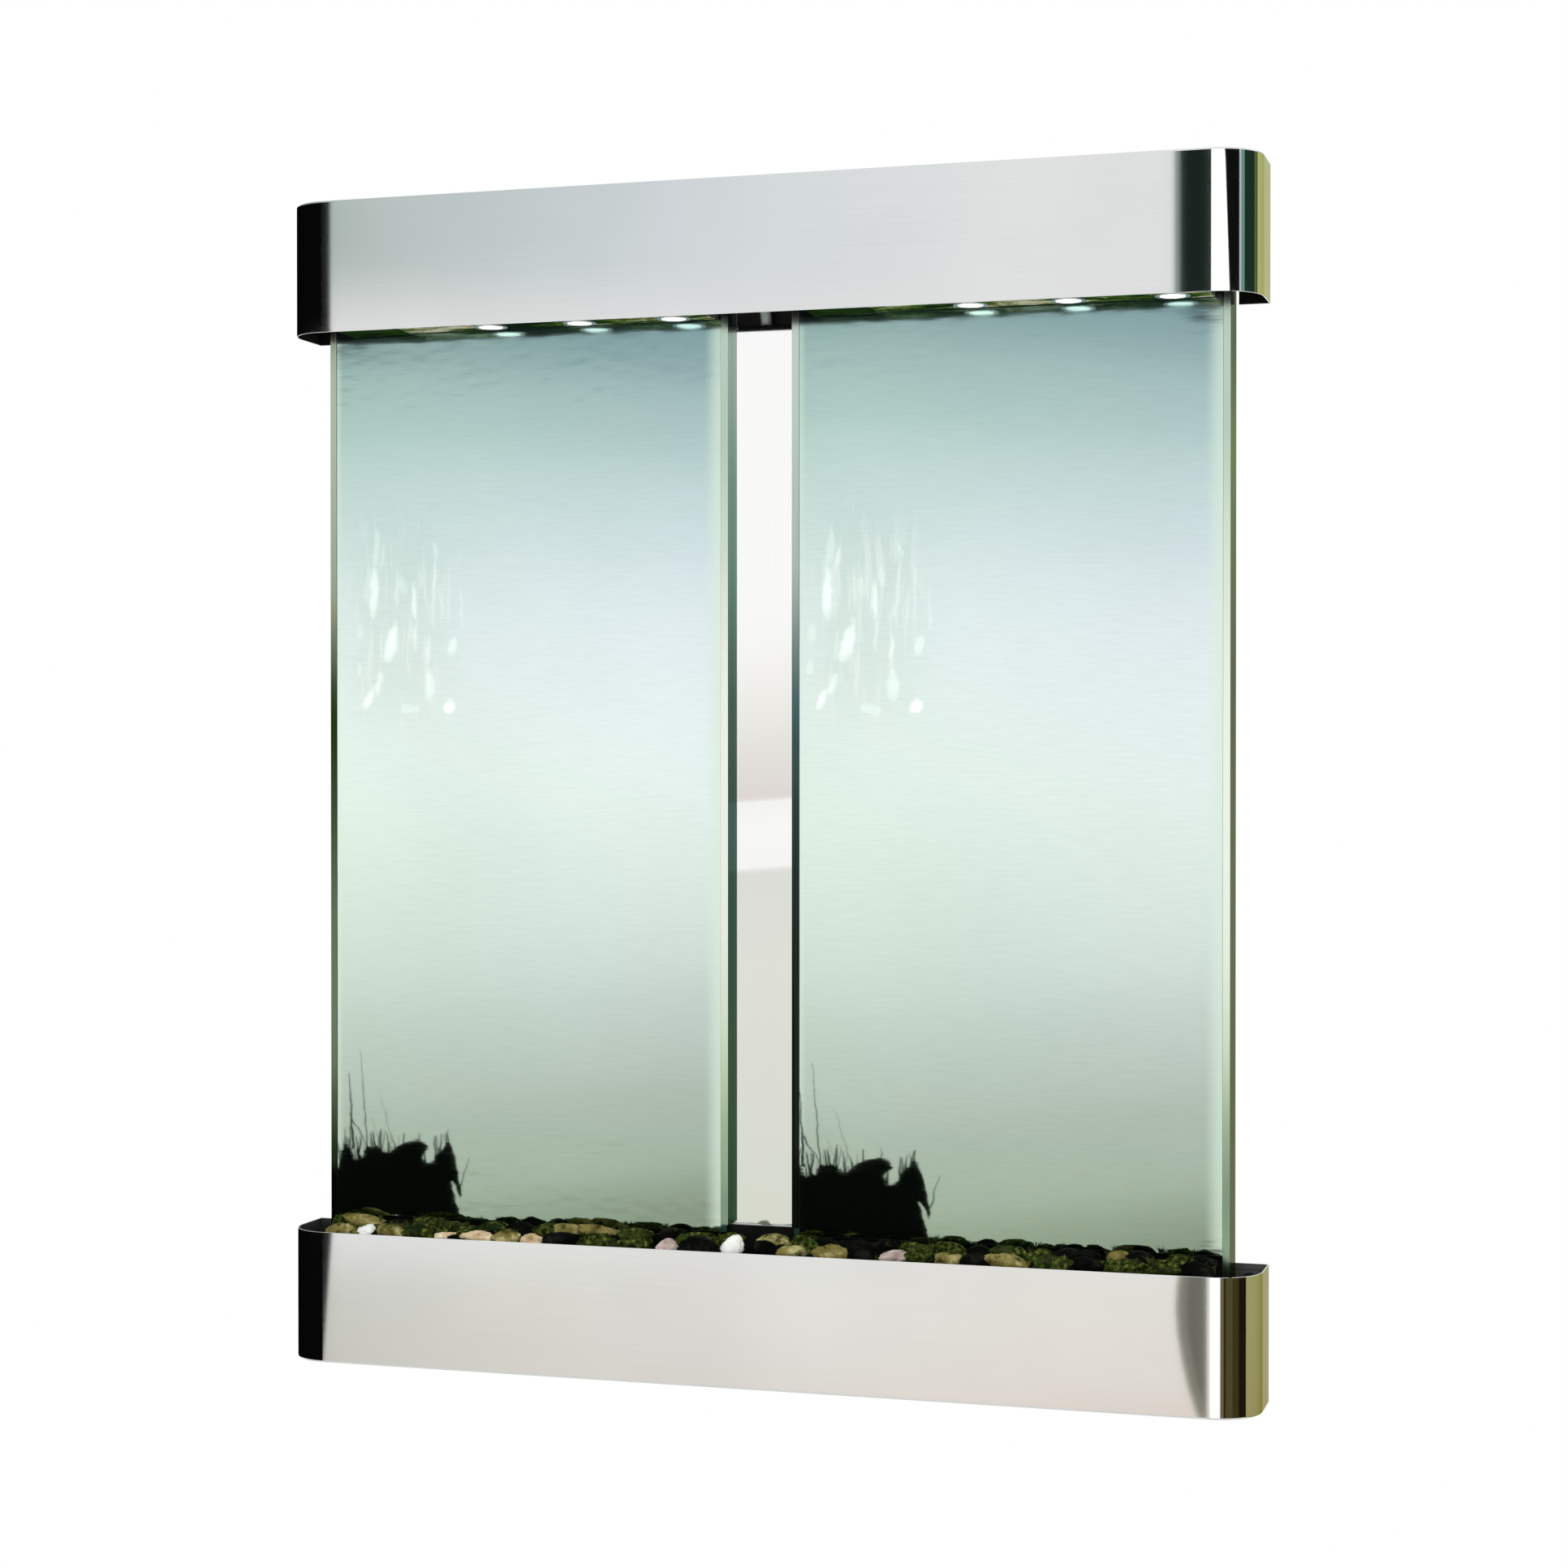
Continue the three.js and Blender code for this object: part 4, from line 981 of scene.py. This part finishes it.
GLEAM_TONES = ((1.04, 1.06, 1.03), (1.12, 1.13, 1.1), (1.3, 1.3, 1.27))
for side, x0, width, z0, tall in (("left", -0.729, 0.214, -0.730, 0.319), ("right", 0.008, 0.227, -0.733, 0.305)):
    for number, (across, foot, head, half, lean, tone) in enumerate(GLEAMS):
        for layer, (shrink, level) in enumerate(((1.0, max(0, tone - 1)), (0.72, tone))):
            outline = []
            for k in range(GLEAM_POINTS):
                angle = 2 * math.pi * k / GLEAM_POINTS
                swell = 1 + 0.22 * math.sin(2 * angle + number) - 0.25 * math.sin(angle)
                up = (foot + head) / 2 + (head - foot) / 2 * shrink * math.sin(angle)
                over = across + GLEAM_WIDTH * half * shrink * swell * math.cos(angle) + lean * math.sin(angle)
                outline.append((x0 + width * over, z0 + tall * up))
            upright(f"gleam_{side}_{number}_{layer}", BLADE_Y + 0.0005 * layer, outline, GLEAM_TONES[level])

floor_mesh = bpy.data.meshes.new("floor")
floor_z = tray_low.z - 0.62
floor_corners = [(x, y, floor_z) for x, y in ((-2.2, -2.2), (2.2, -2.2), (2.2, 0.6), (-2.2, 0.6))]
floor_mesh.from_pydata(floor_corners, [], [(0, 1, 2, 3)])
floor = bpy.data.objects.new("floor", floor_mesh)
bpy.context.scene.collection.objects.link(floor)
floor_paint = Paint("floor_paint", Roughness=0.8)
floor_paint.feed("Base Color", floor_paint.mix(floor_paint.noise(3), (0.8, 0.8, 0.79), (0.84, 0.84, 0.83)))
floor_mesh.materials.append(floor_paint.material)

# What the steel and the glass mirror: the tone goes by direction. The camera itself sees plain white.
world = bpy.data.worlds.new("studio")
bpy.context.scene.world = world
world.use_nodes = True
tree = world.node_tree
tree.nodes.clear()
direction = tree.nodes.new("ShaderNodeTexCoord")
split = tree.nodes.new("ShaderNodeSeparateXYZ")
tree.links.new(direction.outputs["Generated"], split.inputs[0])


def sky_span(axis, low, high):
    node = tree.nodes.new("ShaderNodeMapRange")
    node.inputs["From Min"].default_value = low
    node.inputs["From Max"].default_value = high
    tree.links.new(split.outputs[axis], node.inputs["Value"])
    return node.outputs["Result"]


def sky_ramp(axis, low, high, stops):
    node = tree.nodes.new("ShaderNodeValToRGB")
    while len(node.color_ramp.elements) < len(stops):
        node.color_ramp.elements.new(0.5)
    for element, (place_at, colour) in zip(node.color_ramp.elements, stops):
        element.position = place_at
        element.color = (*colour, 1)
    tree.links.new(sky_span(axis, low, high), node.inputs["Fac"])
    return node.outputs["Color"]


def sky_mix(factor, a, b, blend="MIX"):
    node = tree.nodes.new("ShaderNodeMix")
    node.data_type = "RGBA"
    node.blend_type = blend
    for key_name, value in (("Factor", factor), ("A", a), ("B", b)):
        if isinstance(value, tuple):
            node.inputs[key_name].default_value = (*value, 1)
        elif isinstance(value, float):
            node.inputs[key_name].default_value = value
        else:
            tree.links.new(value, node.inputs[key_name])
    return node.outputs["Result"]


upper = sky_ramp("X", -0.46, -0.16, [
    (0.08, (0.44, 0.53, 0.48)), (0.18, (0.60, 0.67, 0.66)), (0.30, (0.68, 0.76, 0.76)), (0.48, (0.78, 0.83, 0.86)),
    (0.64, (0.84, 0.88, 0.89)), (0.88, (0.93, 0.94, 0.945)),
])
lower = sky_ramp("X", -0.46, -0.16, [
    (0.08, (0.69, 0.70, 0.63)), (0.18, (0.78, 0.78, 0.73)), (0.30, (0.84, 0.84, 0.77)), (0.48, (0.88, 0.865, 0.825)),
    (0.64, (0.94, 0.93, 0.885)), (0.88, (0.96, 0.93, 0.87)),
])
under = sky_ramp("Z", -0.40, -0.18, [
    (0.45, (0.95, 0.945, 0.94)), (0.62, (0.93, 0.86, 0.835)), (0.78, (0.93, 0.83, 0.80)), (0.86, (0.97, 0.95, 0.94)),
    (0.96, (1.0, 1.0, 1.0)),
])
lower = sky_mix(1.0, lower, under, "MULTIPLY")
level = sky_mix(sky_span("Z", -0.178, -0.158), lower, (0.95, 0.955, 0.95))
sky = sky_mix(sky_span("Z", 0.145, 0.168), level, upper)
room = tree.nodes.new("ShaderNodeBackground")
tree.links.new(sky, room.inputs["Color"])
white = tree.nodes.new("ShaderNodeBackground")
white.inputs["Color"].default_value = (1, 1, 1, 1)
path = tree.nodes.new("ShaderNodeLightPath")
choose = tree.nodes.new("ShaderNodeMixShader")
tree.links.new(path.outputs["Is Camera Ray"], choose.inputs["Fac"])
tree.links.new(room.outputs[0], choose.inputs[1])
tree.links.new(white.outputs[0], choose.inputs[2])
world_out = tree.nodes.new("ShaderNodeOutputWorld")
tree.links.new(choose.outputs[0], world_out.inputs["Surface"])

key = bpy.data.objects.new("key", bpy.data.lights.new("key", "AREA"))
key.data.shape = "RECTANGLE"
key.data.size, key.data.size_y = 2.4, 1.6
key.data.energy = 60
key.location = (-0.6, -2.6, 1.9)
key.rotation_euler = (Vector((0, -0.1, -0.9)) - key.location).to_track_quat("-Z", "Y").to_euler()
key.visible_glossy = False
bpy.context.scene.collection.objects.link(key)

bpy.context.scene.view_settings.view_transform = "Standard"
